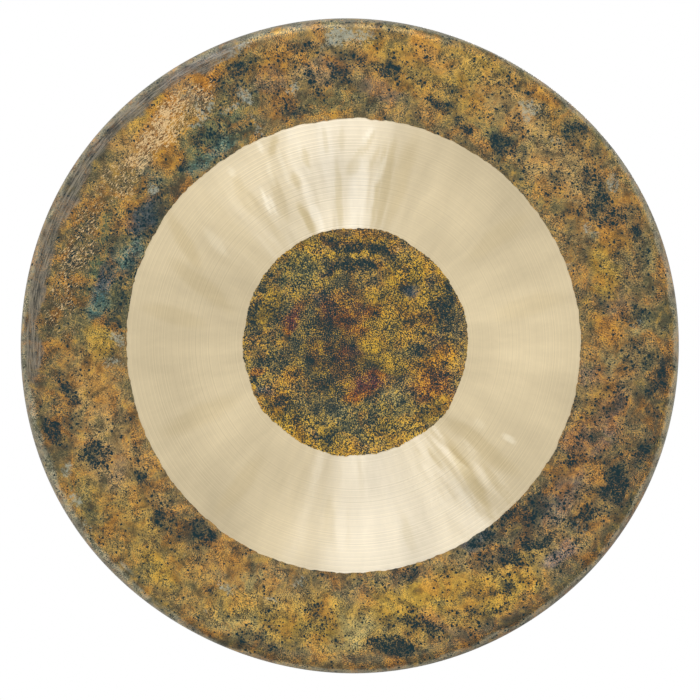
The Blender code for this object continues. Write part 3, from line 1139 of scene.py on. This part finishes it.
@dataclass(frozen=True)
class PatinatedBronze(Finish):
    """Cast and forged bronze left with its fire skin and coloured with salts: ochre under black oxide.

    To the eye it is half metal and half dull scale. It is mottled from gold to brown in blotches, gritty all
    over, peppered with teal-black dots that gather into soot, chalky grey-green where salt has dried, and
    bright where the skin is scraped through. Grit and specks are really finer than 1 mm, and are drawn as
    coarse as they need to be to show.
    """

    # How much of each tone there is, and how far grit and blotches swing the level
    gold_share: float
    brown_share: float
    warm_share: float
    cool_share: float
    grit_swing: float
    grit_hold: float
    blotch_swing: float
    # Where black specks, dots and smoke start, and how soot brings them on
    speck_start: float
    speck_cover: float
    speck_hold: float
    dot_gap_mm: float
    dot_load: float
    smoke_start: float
    # Colours
    gold: str = "#D09E30"
    brown: str = "#463F33"
    warm: str = "#B3762C"
    cool: str = "#545740"
    smoke: str = "#303B37"
    black: str = "#183438"
    salt: str = "#A9AA94"
    bright: str = "#E0BE86"
    streak_light: str = "#968C78"
    streak_dark: str = "#343634"
    # Real sizes of the patterns
    patch_mm: float = 24.0
    blotch_mm: float = 11.0
    cloud_mm: float = 15.0
    speck_mm: float = 1.4
    grit_mm: float = 1.0
    salt_mm: float = 3.5
    fleck_mm: tuple[float, float, float] = (3.4, 1.3, 1.3)
    streak_mm: tuple[float, float] = (0.9, 21.0)
    fleck_lean: float = math.radians(-48.0)
    large_dot: float = 1.6
    # How far clouds swing the soot, and how much each coat covers at most
    cloud_swing: float = 2.2
    smoke_most: float = 0.58
    dot_most: float = 0.97
    salt_most: float = 0.78
    streak_most: float = 0.75
    fleck_most: float = 0.92

    def shader(self, tree: Nodes, where: Signal) -> bpy.types.Node:
        """Lays the coats of the patina one on the other, half dull and half metal.

        Args:
            tree: the material's node tree.
            where: the point that is shaded.

        Returns:
            The shader's node.
        """
        soot = add_node(tree, "Attribute", attribute_name=Mark.SOOT.value).outputs["Fac"]
        grit = add_node(
            tree,
            "TexNoise",
            {"Vector": where, "Scale": per_metre(self.grit_mm), "Detail": 1.0, "Roughness": 0.6},
        )
        cloud = add_node(
            tree,
            "TexNoise",
            {"Vector": where, "Scale": per_metre(self.cloud_mm), "Detail": 5.0, "Roughness": 0.66},
        )
        load = add_node(
            tree,
            "Math",
            {0: cloud, 1: self.cloud_swing, 2: -self.cloud_swing / 2},
            operation="MULTIPLY_ADD",
        )
        load = add_node(tree, "Math", {0: load, 1: soot}, operation="ADD")
        black = self.black_cover(tree, where, load)
        colour = self.mottle(tree, where, grit, load)
        for cover, coat in (
            (self.smoke_cover(tree, load, grit), self.smoke),
            (black, self.black),
            (self.salt_cover(tree, where, grit), self.salt),
        ):
            colour = add_node(
                tree, "Mix", {0: cover, 6: colour, 7: linear(coat)}, data_type="RGBA"
            ).outputs[2]
        colour = self.drawn_over(tree, where, colour)
        flecks = self.flecks(tree, where, cloud)
        colour = add_node(
            tree, "Mix", {0: flecks, 6: colour, 7: linear(self.bright)}, data_type="RGBA"
        ).outputs[2]
        colour = self.last_tone(tree, where, colour)
        rough = add_node(tree, "MapRange", {"Value": black, "To Min": 0.46, "To Max": 0.7})
        height = add_node(tree, "Math", {0: flecks, 1: black}, operation="SUBTRACT")
        bump = add_node(tree, "Bump", {"Height": height, "Strength": 0.4, "Distance": 0.2 * MM})
        return add_node(
            tree,
            "BsdfPrincipled",
            {"Base Color": colour, "Metallic": 0.8, "Roughness": rough, "Normal": bump},
        )

    def last_tone(self, tree: Nodes, where: Signal, colour: Signal) -> Signal:
        """Leaves the colour as it is, where nothing more is done to the skin."""
        return colour

    def mottle(self, tree: Nodes, where: Signal, grit: Signal, load: Signal) -> Signal:
        """The painted colour, with warm and cool tones, grit and blotches in it.

        Args:
            tree: the material's node tree.
            where: the point that is shaded.
            grit: the finest noise.
            load: how much soot there is, which takes the gold away.

        Returns:
            The colour.
        """
        painted = add_node(tree, "Attribute", attribute_name="patina").outputs["Color"]
        noise = add_node(
            tree,
            "TexNoise",
            {
                "Vector": where,
                "Scale": per_metre(self.patch_mm),
                "Detail": 4.0,
                "Roughness": 0.6,
                "Distortion": 0.8,
            },
        )
        patches = noise.outputs[0]
        busy = add_node(
            tree,
            "MapRange",
            {"Value": patches, "From Min": 0.35, "From Max": 0.65, "To Min": 0.4, "To Max": 1.7},
        )
        grit = add_node(tree, "Math", {0: grit, 1: -0.5}, operation="ADD")
        grit = add_node(tree, "Math", {0: grit, 1: busy, 2: 0.5}, operation="MULTIPLY_ADD")
        hue = add_node(tree, "SeparateColor", {0: noise.outputs[1]}).outputs[1]
        hue = add_node(tree, "Math", {0: grit, 1: 0.6, 2: hue}, operation="MULTIPLY_ADD")
        painted = coated(tree, painted, hue, (0.82, 0.95), self.warm_share, self.warm)
        painted = coated(tree, painted, hue, (0.78, 0.65), self.cool_share, self.cool)
        level = add_node(
            tree,
            "MapRange",
            {"Value": patches, "From Min": 0.3, "From Max": 0.7, "To Min": 0.74, "To Max": 1.28},
        )
        swing = add_node(
            tree,
            "MapRange",
            {
                "Value": grit,
                "From Min": 0.3,
                "From Max": 0.7,
                "To Min": 1.0 - self.grit_swing,
                "To Max": 1.0 + self.grit_swing,
            },
        )
        level = add_node(tree, "Math", {0: level, 1: swing}, operation="MULTIPLY")
        toned = add_node(tree, "VectorMath", {0: painted, "Scale": level}, operation="SCALE")
        return self.blotched(tree, where, toned, grit, load)

    def blotched(self, tree: Nodes, where: Signal, toned: Signal, grit: Signal, load: Signal) -> Signal:
        """A colour lightened to gold and darkened to brown in blotches, whose edges break up into the grit.

        Args:
            tree: the material's node tree.
            where: the point that is shaded.
            toned: the colour.
            grit: the finest noise.
            load: how much soot there is.

        Returns:
            The colour with its blotches.
        """
        blotch = add_node(
            tree,
            "TexNoise",
            {
                "Vector": where,
                "Scale": per_metre(self.blotch_mm),
                "Detail": 5.0,
                "Roughness": 0.68,
                "Distortion": 0.4,
            },
        )
        held = add_node(tree, "Math", {0: grit, 1: -0.5}, operation="ADD")
        blotch = add_node(tree, "Math", {0: held, 1: self.grit_hold, 2: blotch}, operation="MULTIPLY_ADD")
        blotch = add_node(tree, "Math", {0: load, 1: -0.08, 2: blotch}, operation="MULTIPLY_ADD")
        swell = add_node(
            tree,
            "MapRange",
            {
                "Value": blotch,
                "From Min": 0.3,
                "From Max": 0.7,
                "To Min": 1.0 - self.blotch_swing,
                "To Max": 1.0 + self.blotch_swing,
            },
        )
        toned = add_node(tree, "VectorMath", {0: toned, "Scale": swell}, operation="SCALE")
        colour = coated(tree, toned, blotch, (0.52, 0.72), self.gold_share, self.gold)
        return coated(tree, colour, blotch, (0.48, 0.3), self.brown_share, self.brown)

    def drawn_over(self, tree: Nodes, where: Signal, colour: Signal) -> Signal:
        """Lays long light and dark streaks where the skin is drawn round the rim.

        Args:
            tree: the material's node tree.
            where: the point that is shaded.
            colour: the patina's colour.

        Returns:
            The colour with the streaks.
        """
        drawn = add_node(tree, "Attribute", attribute_name=Mark.DRAWN.value).outputs["Fac"]
        width_mm, length_mm = self.streak_mm
        radius, outward = round_axis(tree, where)
        depth = add_node(tree, "SeparateXYZ", {0: where}).outputs[1]
        across = add_node(tree, "Math", {0: radius, 1: depth}, operation="SUBTRACT")
        streaks = noise_round(tree, outward, RIM_MM / length_mm, across, width_mm, 5.0, 0.72)
        share = add_node(tree, "MapRange", {"Value": streaks, "From Min": 0.43, "From Max": 0.57})
        streak = add_node(
            tree,
            "Mix",
            {0: share, 6: linear(self.streak_dark), 7: linear(self.streak_light)},
            data_type="RGBA",
        ).outputs[2]
        cover = add_node(tree, "Math", {0: streaks, 1: 1.6, 2: -0.8}, operation="MULTIPLY_ADD")
        cover = add_node(tree, "Math", {0: cover, 1: drawn}, operation="ADD")
        cover = add_node(
            tree, "MapRange", {"Value": cover, "From Min": 0.3, "From Max": 0.9, "To Max": self.streak_most}
        )
        return add_node(tree, "Mix", {0: cover, 6: colour, 7: streak}, data_type="RGBA").outputs[2]

    def smoke_cover(self, tree: Nodes, load: Signal, grit: Signal) -> Signal:
        """Smoky oxide round the dots, which breaks up into grit at its edges.

        Args:
            tree: the material's node tree.
            load: how much soot there is.
            grit: the finest noise.

        Returns:
            How much the smoke covers, from 0 to 1.
        """
        broken = add_node(tree, "Math", {0: grit, 1: 1.1, 2: load}, operation="MULTIPLY_ADD")
        return add_node(
            tree,
            "MapRange",
            {
                "Value": broken,
                "From Min": self.smoke_start,
                "From Max": self.smoke_start + 0.75,
                "To Max": self.smoke_most,
            },
            interpolation_type="SMOOTHSTEP",
        )

    def black_cover(self, tree: Nodes, where: Signal, load: Signal) -> Signal:
        """Black specks and dots of oxide, denser where there is more soot.

        Args:
            tree: the material's node tree.
            where: the point that is shaded.
            load: how much soot there is.

        Returns:
            How much the black covers, from 0 to 1.
        """
        fine = add_node(
            tree,
            "TexNoise",
            {"Vector": where, "Scale": per_metre(self.speck_mm), "Detail": 1.5, "Roughness": 0.6},
        )
        held = add_node(tree, "Math", {0: load, 1: 0.8}, operation="MINIMUM")
        raised = add_node(tree, "Math", {0: held, 1: self.speck_hold, 2: fine}, operation="MULTIPLY_ADD")
        specks = add_node(
            tree,
            "MapRange",
            {
                "Value": raised,
                "From Min": self.speck_start,
                "From Max": self.speck_start + 0.06,
                "To Max": self.speck_cover,
            },
            interpolation_type="SMOOTHSTEP",
        )
        small = self.dots(tree, where, load, self.dot_gap_mm)
        large = self.dots(tree, where, load, self.dot_gap_mm * self.large_dot)
        dots = add_node(tree, "Math", {0: small, 1: large}, operation="MAXIMUM")
        return add_node(tree, "Math", {0: specks, 1: dots}, operation="MAXIMUM")

    def dots(self, tree: Nodes, where: Signal, load: Signal, gap_mm: float) -> Signal:
        """Small round pits, each in a cell of its own.

        Args:
            tree: the material's node tree.
            where: the point that is shaded.
            load: how much soot there is.
            gap_mm: how far apart the pits lie, in millimetres.

        Returns:
            How much the pits cover, from 0 to 1.
        """
        shift = add_node(
            tree, "TexNoise", {"Vector": where, "Scale": per_metre(0.8 * gap_mm), "Detail": 2.0}
        ).outputs[1]
        bent = add_node(
            tree, "VectorMath", {0: shift, 1: (0.5 * gap_mm * MM,) * 3, 2: where}, operation="MULTIPLY_ADD"
        )
        cells = add_node(tree, "TexVoronoi", {"Vector": bent, "Scale": per_metre(gap_mm)})
        chance = add_node(tree, "SeparateColor", {0: cells.outputs["Color"]})
        spare = add_node(tree, "Math", {0: load, 1: chance}, operation="SUBTRACT")
        spare = add_node(tree, "Math", {0: spare, 1: self.dot_load}, operation="ADD")
        size = add_node(tree, "MapRange", {"Value": spare, "From Max": 0.9, "To Min": 0.2, "To Max": 0.44})
        inside = add_node(tree, "Math", {0: size, 1: cells.outputs["Distance"]}, operation="SUBTRACT")
        inside = add_node(tree, "Math", {0: inside, 1: spare}, operation="MINIMUM")
        return add_node(
            tree,
            "MapRange",
            {"Value": inside, "From Min": 0.0, "From Max": 0.05, "To Max": self.dot_most},
            interpolation_type="SMOOTHSTEP",
        )

    def salt_cover(self, tree: Nodes, where: Signal, grit: Signal) -> Signal:
        """Chalky pale salt with a ragged, gritty edge.

        Args:
            tree: the material's node tree.
            where: the point that is shaded.
            grit: the finest noise.

        Returns:
            How much the salt covers, from 0 to 1.
        """
        pale = add_node(tree, "Attribute", attribute_name=Mark.PALE.value).outputs["Fac"]
        ragged = add_node(
            tree,
            "TexNoise",
            {"Vector": where, "Scale": per_metre(self.salt_mm), "Detail": 6.0, "Roughness": 0.74},
        )
        raised = add_node(tree, "Math", {0: ragged, 1: 3.4, 2: pale}, operation="MULTIPLY_ADD")
        raised = add_node(tree, "Math", {0: grit, 1: 0.8, 2: raised}, operation="MULTIPLY_ADD")
        return add_node(
            tree,
            "MapRange",
            {"Value": raised, "From Min": 2.45, "From Max": 3.3, "To Max": self.salt_most},
            interpolation_type="SMOOTHSTEP",
        )

    def flecks(self, tree: Nodes, where: Signal, cloud: Signal) -> Signal:
        """Bright flecks, scraped slantwise through the skin.

        Args:
            tree: the material's node tree.
            where: the point that is shaded.
            cloud: the noise that gathers them in clumps.

        Returns:
            How much the flecks cover, from 0 to 1.
        """
        scraped = add_node(tree, "Attribute", attribute_name=Mark.FLECK.value).outputs["Fac"]
        turned = add_node(
            tree,
            "Mapping",
            {
                "Vector": where,
                "Rotation": (0.0, self.fleck_lean, 0.0),
                "Scale": tuple(size * MM for size in self.fleck_mm),
            },
            vector_type="TEXTURE",
        )
        fine = add_node(
            tree,
            "TexNoise",
            {"Vector": turned, "Scale": 1.0, "Detail": 3.0, "Roughness": 0.72, "Distortion": 0.7},
        )
        raised = add_node(tree, "Math", {0: scraped, 1: 0.3, 2: fine}, operation="MULTIPLY_ADD")
        raised = add_node(tree, "Math", {0: cloud, 1: 0.3, 2: raised}, operation="MULTIPLY_ADD")
        return add_node(
            tree,
            "MapRange",
            {"Value": raised, "From Min": 0.95, "From Max": 1.0, "To Max": self.fleck_most},
            interpolation_type="SMOOTHSTEP",
        )


@dataclass(frozen=True)
class PatinatedRim(PatinatedBronze):
    """The same skin round the rim, darkened where it turns away from the face: partly dark skin, partly
    painted shade along the outline.

    The black starts at a depth behind the gong's middle, in metres, and noise makes its edge ragged.
    """

    dark: str = "#33352F"
    dark_from: float = -0.0102
    dark_to: float = -0.0064
    dark_cover: float = 0.8
    ragged_by: float = 0.005

    def last_tone(self, tree: Nodes, where: Signal, colour: Signal) -> Signal:
        """Blackens the rim behind its shoulder: partly dark skin, partly painted shade along the outline.

        Args:
            tree: the material's node tree.
            where: the point that is shaded.
            colour: the patina's colour.

        Returns:
            The colour, blackened.
        """
        # Partly dark skin and partly painted shade: the rim darkens with its depth behind the face
        depth = add_node(tree, "SeparateXYZ", {0: where}).outputs[1]
        ragged = add_node(
            tree,
            "TexNoise",
            {"Vector": where, "Scale": per_metre(self.blotch_mm), "Detail": 5.0, "Roughness": 0.7},
        )
        turned = add_node(tree, "Math", {0: ragged, 1: self.ragged_by, 2: depth}, operation="MULTIPLY_ADD")
        cover = add_node(
            tree,
            "MapRange",
            {
                "Value": turned,
                "From Min": self.dark_from,
                "From Max": self.dark_to,
                "To Max": self.dark_cover,
            },
            interpolation_type="SMOOTHSTEP",
        )
        return add_node(
            tree, "Mix", {0: cover, 6: colour, 7: linear(self.dark)}, data_type="RGBA"
        ).outputs[2]


@dataclass(frozen=True)
class LathedBronze(Finish):
    """High-tin bronze turned bright on a lathe: pale gold-grey metal with fine round grooves.

    The grooves spread each lamp's light along the radius, so that it shows as a fan across the ring.
    """

    name: str = "lathed_bronze"
    metal: str = "#D9C8A4"
    groove_mm: float = 2.4
    broad_mm: float = 120.0
    # How far the painted shade and the painted highlights darken and lighten the metal's red, green and blue
    painted_shade_gain: tuple[float, float, float] = (-0.18, -0.22, -0.34)
    painted_highlight_gain: tuple[float, float, float] = (0.2, 0.26, 0.4)
    middle_mm: float = 171.0
    spoke_mm: tuple[float, float] = (28.0, 77.0)
    wave_mm: tuple[float, float] = (17.0, 50.0)
    wave_height_mm: float = 1.3
    centre: tuple[float, float, float] = (0.0043, 0.0, 0.0020)

    def shader(self, tree: Nodes, where: Signal) -> bpy.types.Node:
        """Brushed metal whose grooves run round the ring's own centre.

        Args:
            tree: the material's node tree.
            where: the point that is shaded.

        Returns:
            The shader's node.
        """
        offset = add_node(tree, "VectorMath", {0: where, 1: self.centre}, operation="SUBTRACT")
        radius, outward = round_axis(tree, offset)
        grooves = add_node(
            tree,
            "TexNoise",
            {"W": radius, "Scale": per_metre(self.groove_mm / 2), "Detail": 1.0, "Roughness": 0.4},
            noise_dimensions="1D",
        )
        beaten = add_node(tree, "Attribute", attribute_name=Mark.BEATEN.value).outputs["Fac"]
        level = self.level(tree, where, radius, outward)
        depth = add_node(tree, "MapRange", {"Value": beaten, "To Min": 0.2, "To Max": 0.42})
        lines = add_node(tree, "Math", {0: grooves, 1: -0.5}, operation="ADD")
        lines = add_node(tree, "Math", {0: lines, 1: depth, 2: 1.0}, operation="MULTIPLY_ADD")
        level = add_node(tree, "Math", {0: level, 1: lines}, operation="MULTIPLY")
        colour = self.with_painted_fan_light(tree, level)
        around = self.middle_mm / self.wave_mm[0]
        waves = noise_round(tree, outward, around, radius, self.wave_mm[1], 1.0, 0.4)
        waves = add_node(tree, "Math", {0: waves, 1: beaten}, operation="MULTIPLY")
        wavy = add_node(
            tree, "Bump", {"Height": waves, "Strength": 1.0, "Distance": self.wave_height_mm * MM}
        )
        bump = add_node(
            tree, "Bump", {"Height": grooves, "Strength": 0.6, "Distance": 0.1 * MM, "Normal": wavy}
        )
        return add_node(
            tree,
            "BsdfPrincipled",
            {
                "Base Color": colour,
                "Metallic": 1.0,
                "Roughness": 0.29,
                "Anisotropic": 1.0,
                "Tangent": outward,
                "Normal": bump,
            },
        )

    def level(self, tree: Nodes, where: Signal, radius: Signal, outward: Signal) -> Signal:
        """How bright the metal is: faint spokes, on broad brighter and duller areas.

        Args:
            tree: the material's node tree.
            where: the point that is shaded.
            radius: its distance from the ring's centre.
            outward: the direction away from that centre.

        Returns:
            The level, round 1.
        """
        around = self.middle_mm / self.spoke_mm[0]
        spokes = noise_round(tree, outward, around, radius, self.spoke_mm[1], 4.0, 0.62)
        level = add_node(
            tree,
            "MapRange",
            {"Value": spokes, "From Min": 0.3, "From Max": 0.7, "To Min": 0.91, "To Max": 1.09},
        )
        broad = add_node(
            tree, "TexNoise", {"Vector": where, "Scale": per_metre(self.broad_mm), "Detail": 1.0}
        )
        broad = add_node(
            tree,
            "MapRange",
            {"Value": broad, "From Min": 0.3, "From Max": 0.7, "To Min": 0.88, "To Max": 1.12},
        )
        return add_node(tree, "Math", {0: level, 1: broad}, operation="MULTIPLY")

    def with_painted_fan_light(self, tree: Nodes, level: Signal) -> Signal:
        """The metal's colour at that level, with painted shade and painted highlights where the lamps' fans
        break up and shine.

        Args:
            tree: the material's node tree.
            level: how bright the metal is.

        Returns:
            The colour.
        """
        # The painted shade and the painted highlights of the lamps' fans, laid as strokes
        dull = add_node(tree, "Attribute", attribute_name=Mark.PAINTED_FAN_SHADE.value).outputs["Fac"]
        shine = add_node(tree, "Attribute", attribute_name=Mark.PAINTED_HIGHLIGHT.value).outputs["Fac"]
        painted_fan_light = add_node(
            tree, "VectorMath", {0: dull, 1: self.painted_shade_gain, 2: (1.0,) * 3}, operation="MULTIPLY_ADD"
        )
        painted_fan_light = add_node(
            tree, "VectorMath", {0: shine, 1: self.painted_highlight_gain, 2: painted_fan_light}, operation="MULTIPLY_ADD"
        )
        colour = add_node(
            tree, "VectorMath", {0: linear(self.metal)[:3], "Scale": level}, operation="SCALE"
        )
        return add_node(tree, "VectorMath", {0: colour, 1: painted_fan_light}, operation="MULTIPLY")


@dataclass(frozen=True)
class HammeredBack(PatinatedBronze):
    """The skin behind the face: brown fire scale, with painted light and shade on each blow of the hammer."""

    blow_mm: float = 27.0

    def last_tone(self, tree: Nodes, where: Signal, colour: Signal) -> Signal:
        """Paints light and shade on the hammer's dents: lightens each blow's middle and darkens between
        blows.

        Args:
            tree: the material's node tree.
            where: the point that is shaded.
            colour: the patina's colour.

        Returns:
            The colour, toned.
        """
        # Painted light and shade of the dents, in cells as wide as the blows
        blows = add_node(
            tree, "TexVoronoi", {"Vector": where, "Scale": per_metre(self.blow_mm)}, feature="SMOOTH_F1"
        ).outputs["Distance"]
        tone = add_node(
            tree,
            "MapRange",
            {"Value": blows, "From Min": 0.1, "From Max": 0.65, "To Min": 1.3, "To Max": 0.7},
        )
        return add_node(tree, "VectorMath", {0: colour, "Scale": tone}, operation="SCALE")


@dataclass(frozen=True)
class FiledEdge(Finish):
    """Bronze cut and filed bare: brighter than the skin, scratched across, worn matt by handling."""

    name: str = "filed_bronze_edge"
    metal: str = "#A98F62"
    dull: str = "#6F5F42"
    wear_mm: float = 5.5

    def shader(self, tree: Nodes, where: Signal) -> bpy.types.Node:
        """Bare metal, worn matt in patches.

        Args:
            tree: the material's node tree.
            where: the point that is shaded.

        Returns:
            The shader's node.
        """
        wear = add_node(
            tree, "TexNoise", {"Vector": where, "Scale": per_metre(self.wear_mm), "Detail": 5.0}
        )
        share = add_node(tree, "MapRange", {"Value": wear, "From Min": 0.4, "From Max": 0.6})
        colour = add_node(
            tree, "Mix", {0: share, 6: linear(self.dull), 7: linear(self.metal)}, data_type="RGBA"
        ).outputs[2]
        bump = add_node(tree, "Bump", {"Height": wear, "Strength": 0.3, "Distance": 0.2 * MM})
        return add_node(
            tree,
            "BsdfPrincipled",
            {"Base Color": colour, "Metallic": 0.95, "Roughness": 0.42, "Normal": bump},
        )


SKIN = {
    "gold_share": 0.5,
    "brown_share": 0.6,
    "grit_swing": 0.32,
    "speck_start": 0.68,
    "speck_cover": 0.9,
    "speck_hold": 0.3,
    "dot_gap_mm": 2.8,
    "dot_load": 0.36,
    "smoke_start": 0.8,
    "grit_hold": 0.42,
    "blotch_swing": 0.5,
    "warm_share": 0.55,
    "cool_share": 0.75,
}

FINISHES = {
    Zone.CENTRE: PatinatedBronze(
        "patinated_bronze_centre",
        gold_share=0.75,
        brown_share=0.6,
        grit_swing=0.55,
        speck_start=0.585,
        speck_cover=0.92,
        speck_hold=0.17,
        dot_gap_mm=4.2,
        dot_load=-0.4,
        smoke_start=0.95,
        grit_hold=1.1,
        blotch_swing=0.6,
        warm_share=0.5,
        cool_share=0.5,
        gold="#DAAA2A",
        brown="#1F383A",
        cool="#3E4A42",
        black="#1A3539",
    ),
    Zone.RING: LathedBronze(),
    Zone.BAND: PatinatedBronze("patinated_bronze_band", **SKIN),
    Zone.RIM: PatinatedRim("patinated_bronze_rim", **SKIN),
    Zone.EDGE: FiledEdge(),
    Zone.BACK: HammeredBack(
        "fire_scaled_bronze_back",
        gold_share=0.35,
        brown_share=0.6,
        grit_swing=0.35,
        speck_start=0.69,
        speck_cover=0.7,
        speck_hold=0.2,
        dot_gap_mm=4.5,
        dot_load=0.1,
        smoke_start=0.9,
        grit_hold=0.4,
        blotch_swing=0.4,
        warm_share=0.5,
        cool_share=0.6,
        gold="#7E6838",
        brown="#332C24",
        warm="#6E5130",
        cool="#4A453A",
        smoke="#2E2F2A",
        black="#232A29",
        patch_mm=60.0,
    ),
}


@dataclass(frozen=True)
class Lamp:
    """A soft oblong lamp with a power in watts and a linear colour, turned towards the gong."""

    name: str
    at: tuple[float, float, float]
    width: float
    height: float
    power: float
    colour: tuple[float, float, float]

    def hang(self) -> None:
        """Adds the lamp, which the camera doesn't see."""
        data = bpy.data.lights.new(self.name, "AREA")
        data.shape = "RECTANGLE"
        data.size, data.size_y = self.width, self.height
        data.energy = self.power
        data.color = self.colour
        lamp = bpy.data.objects.new(self.name, data)
        lamp.visible_camera = False
        bpy.context.scene.collection.objects.link(lamp)
        lamp.location = self.at
        lamp.rotation_euler = (-Vector(self.at)).to_track_quat("-Z", "Y").to_euler()


# The two lamps in front are blue enough for their light to look white on this gold-grey metal, where the ring
# spreads it in fans. The lamp behind shows the hammered back.
LAMPS = (
    Lamp("key_lamp", (-0.19, -1.75, 2.60), 1.2, 1.1, 42.0, (0.54, 0.65, 1.0)),
    Lamp("low_lamp", (0.14, -1.35, -0.46), 0.44, 0.22, 1.22, (0.54, 0.65, 1.0)),
    Lamp("back_lamp", (0.35, 2.4, 0.5), 0.8, 0.6, 26.0, (1.0, 0.95, 0.9)),
)


@dataclass(frozen=True)
class Studio:
    """A plain pale floor, a white surround, soft lamps and the camera.

    The lens is long, so that the near face is hardly drawn larger than the rim behind it.
    """

    floor_z: float = -0.62
    floor_size: float = 2.8
    floor_steps: int = 96
    fade_from: float = 0.25  # shares of the floor's size
    fade_to: float = 0.47
    floor_paint: str = "#F4F2EA"
    lens: float = 250.0
    sensor: float = 36.0
    view_width: float = 0.7048
    view_right: float = 0.0002
    view_up: float = -0.0042
    surround: float = 0.62

    def build(self) -> None:
        """Sets up everything round the gong."""
        self.floor()
        self.white_surround()
        for lamp in LAMPS:
            lamp.hang()
        self.camera()
        bpy.context.scene.view_settings.view_transform = "Standard"

    def floor(self) -> None:
        """Lays the floor, which fades to white away from the gong and keeps its shadow."""
        bpy.ops.object.select_all(action="DESELECT")
        bpy.ops.mesh.primitive_circle_add(
            vertices=self.floor_steps,
            radius=self.floor_size / 2,
            fill_type="NGON",
            location=(0.0, 0.0, self.floor_z),
        )
        floor = bpy.context.object
        floor.name = "studio_floor"
        bpy.ops.object.transform_apply(location=True, rotation=True, scale=True)
        material, tree, output = new_material("white_painted_board")
        where = add_node(tree, "TexCoord").outputs["Object"]
        flat = add_node(tree, "VectorMath", {0: where, 1: (1.0, 1.0, 0.0)}, operation="MULTIPLY")
        away = add_node(tree, "VectorMath", {0: flat}, operation="LENGTH").outputs["Value"]
        fade = add_node(
            tree,
            "MapRange",
            {
                "Value": away,
                "From Min": self.fade_from * self.floor_size,
                "From Max": self.fade_to * self.floor_size,
            },
            interpolation_type="SMOOTHSTEP",
        )
        paint = add_node(tree, "BsdfDiffuse", {"Color": linear(self.floor_paint)})
        white = add_node(tree, "Emission", {"Color": (1.0, 1.0, 1.0, 1.0), "Strength": 1.0})
        mixed = add_node(tree, "MixShader", {0: fade, 1: paint, 2: white})
        tree.links.new(mixed.outputs[0], output.inputs[0])
        floor.data.materials.append(material)

    def white_surround(self) -> None:
        """White to the camera and in reflections, softer as light."""
        world = bpy.data.worlds.new("white_surround")
        bpy.context.scene.world = world
        world.use_nodes = True
        tree = world.node_tree
        tree.nodes.clear()
        rays = add_node(tree, "LightPath")
        seen = add_node(
            tree,
            "Math",
            {0: rays.outputs["Is Camera Ray"], 1: rays.outputs["Is Glossy Ray"]},
            operation="MAXIMUM",
        )
        seen = add_node(
            tree, "Math", {0: seen, 1: rays.outputs["Is Transmission Ray"]}, operation="MAXIMUM"
        )
        strength = add_node(tree, "MapRange", {"Value": seen, "To Min": self.surround, "To Max": 1.0})
        light = add_node(tree, "Background", {"Color": (1.0, 1.0, 1.0, 1.0), "Strength": strength})
        tree.links.new(light.outputs[0], add_node(tree, "OutputWorld").inputs[0])

    def camera(self) -> None:
        """Places the camera square to the face."""
        data = bpy.data.cameras.new("camera")
        data.lens = self.lens
        data.sensor_width = self.sensor
        camera = bpy.data.objects.new("camera", data)
        bpy.context.scene.collection.objects.link(camera)
        camera.location = (self.view_right, -self.view_width * self.lens / self.sensor, self.view_up)
        camera.rotation_euler = (math.pi / 2, 0.0, 0.0)
        bpy.context.scene.camera = camera


def main() -> None:
    """Builds the gong and the studio round it, in order."""
    logging.basicConfig(level=logging.INFO, format="%(name)s: %(message)s")
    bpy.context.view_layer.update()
    plate = GongPlate().build()
    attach(plate, "root")
    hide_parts("gong_plate")
    log.info("%s: %d faces", plate.name, len(plate.data.polygons))
    Studio().build()
    log.info("studio: floor, surround, lamps and camera")


if __name__ == "__main__":
    main()
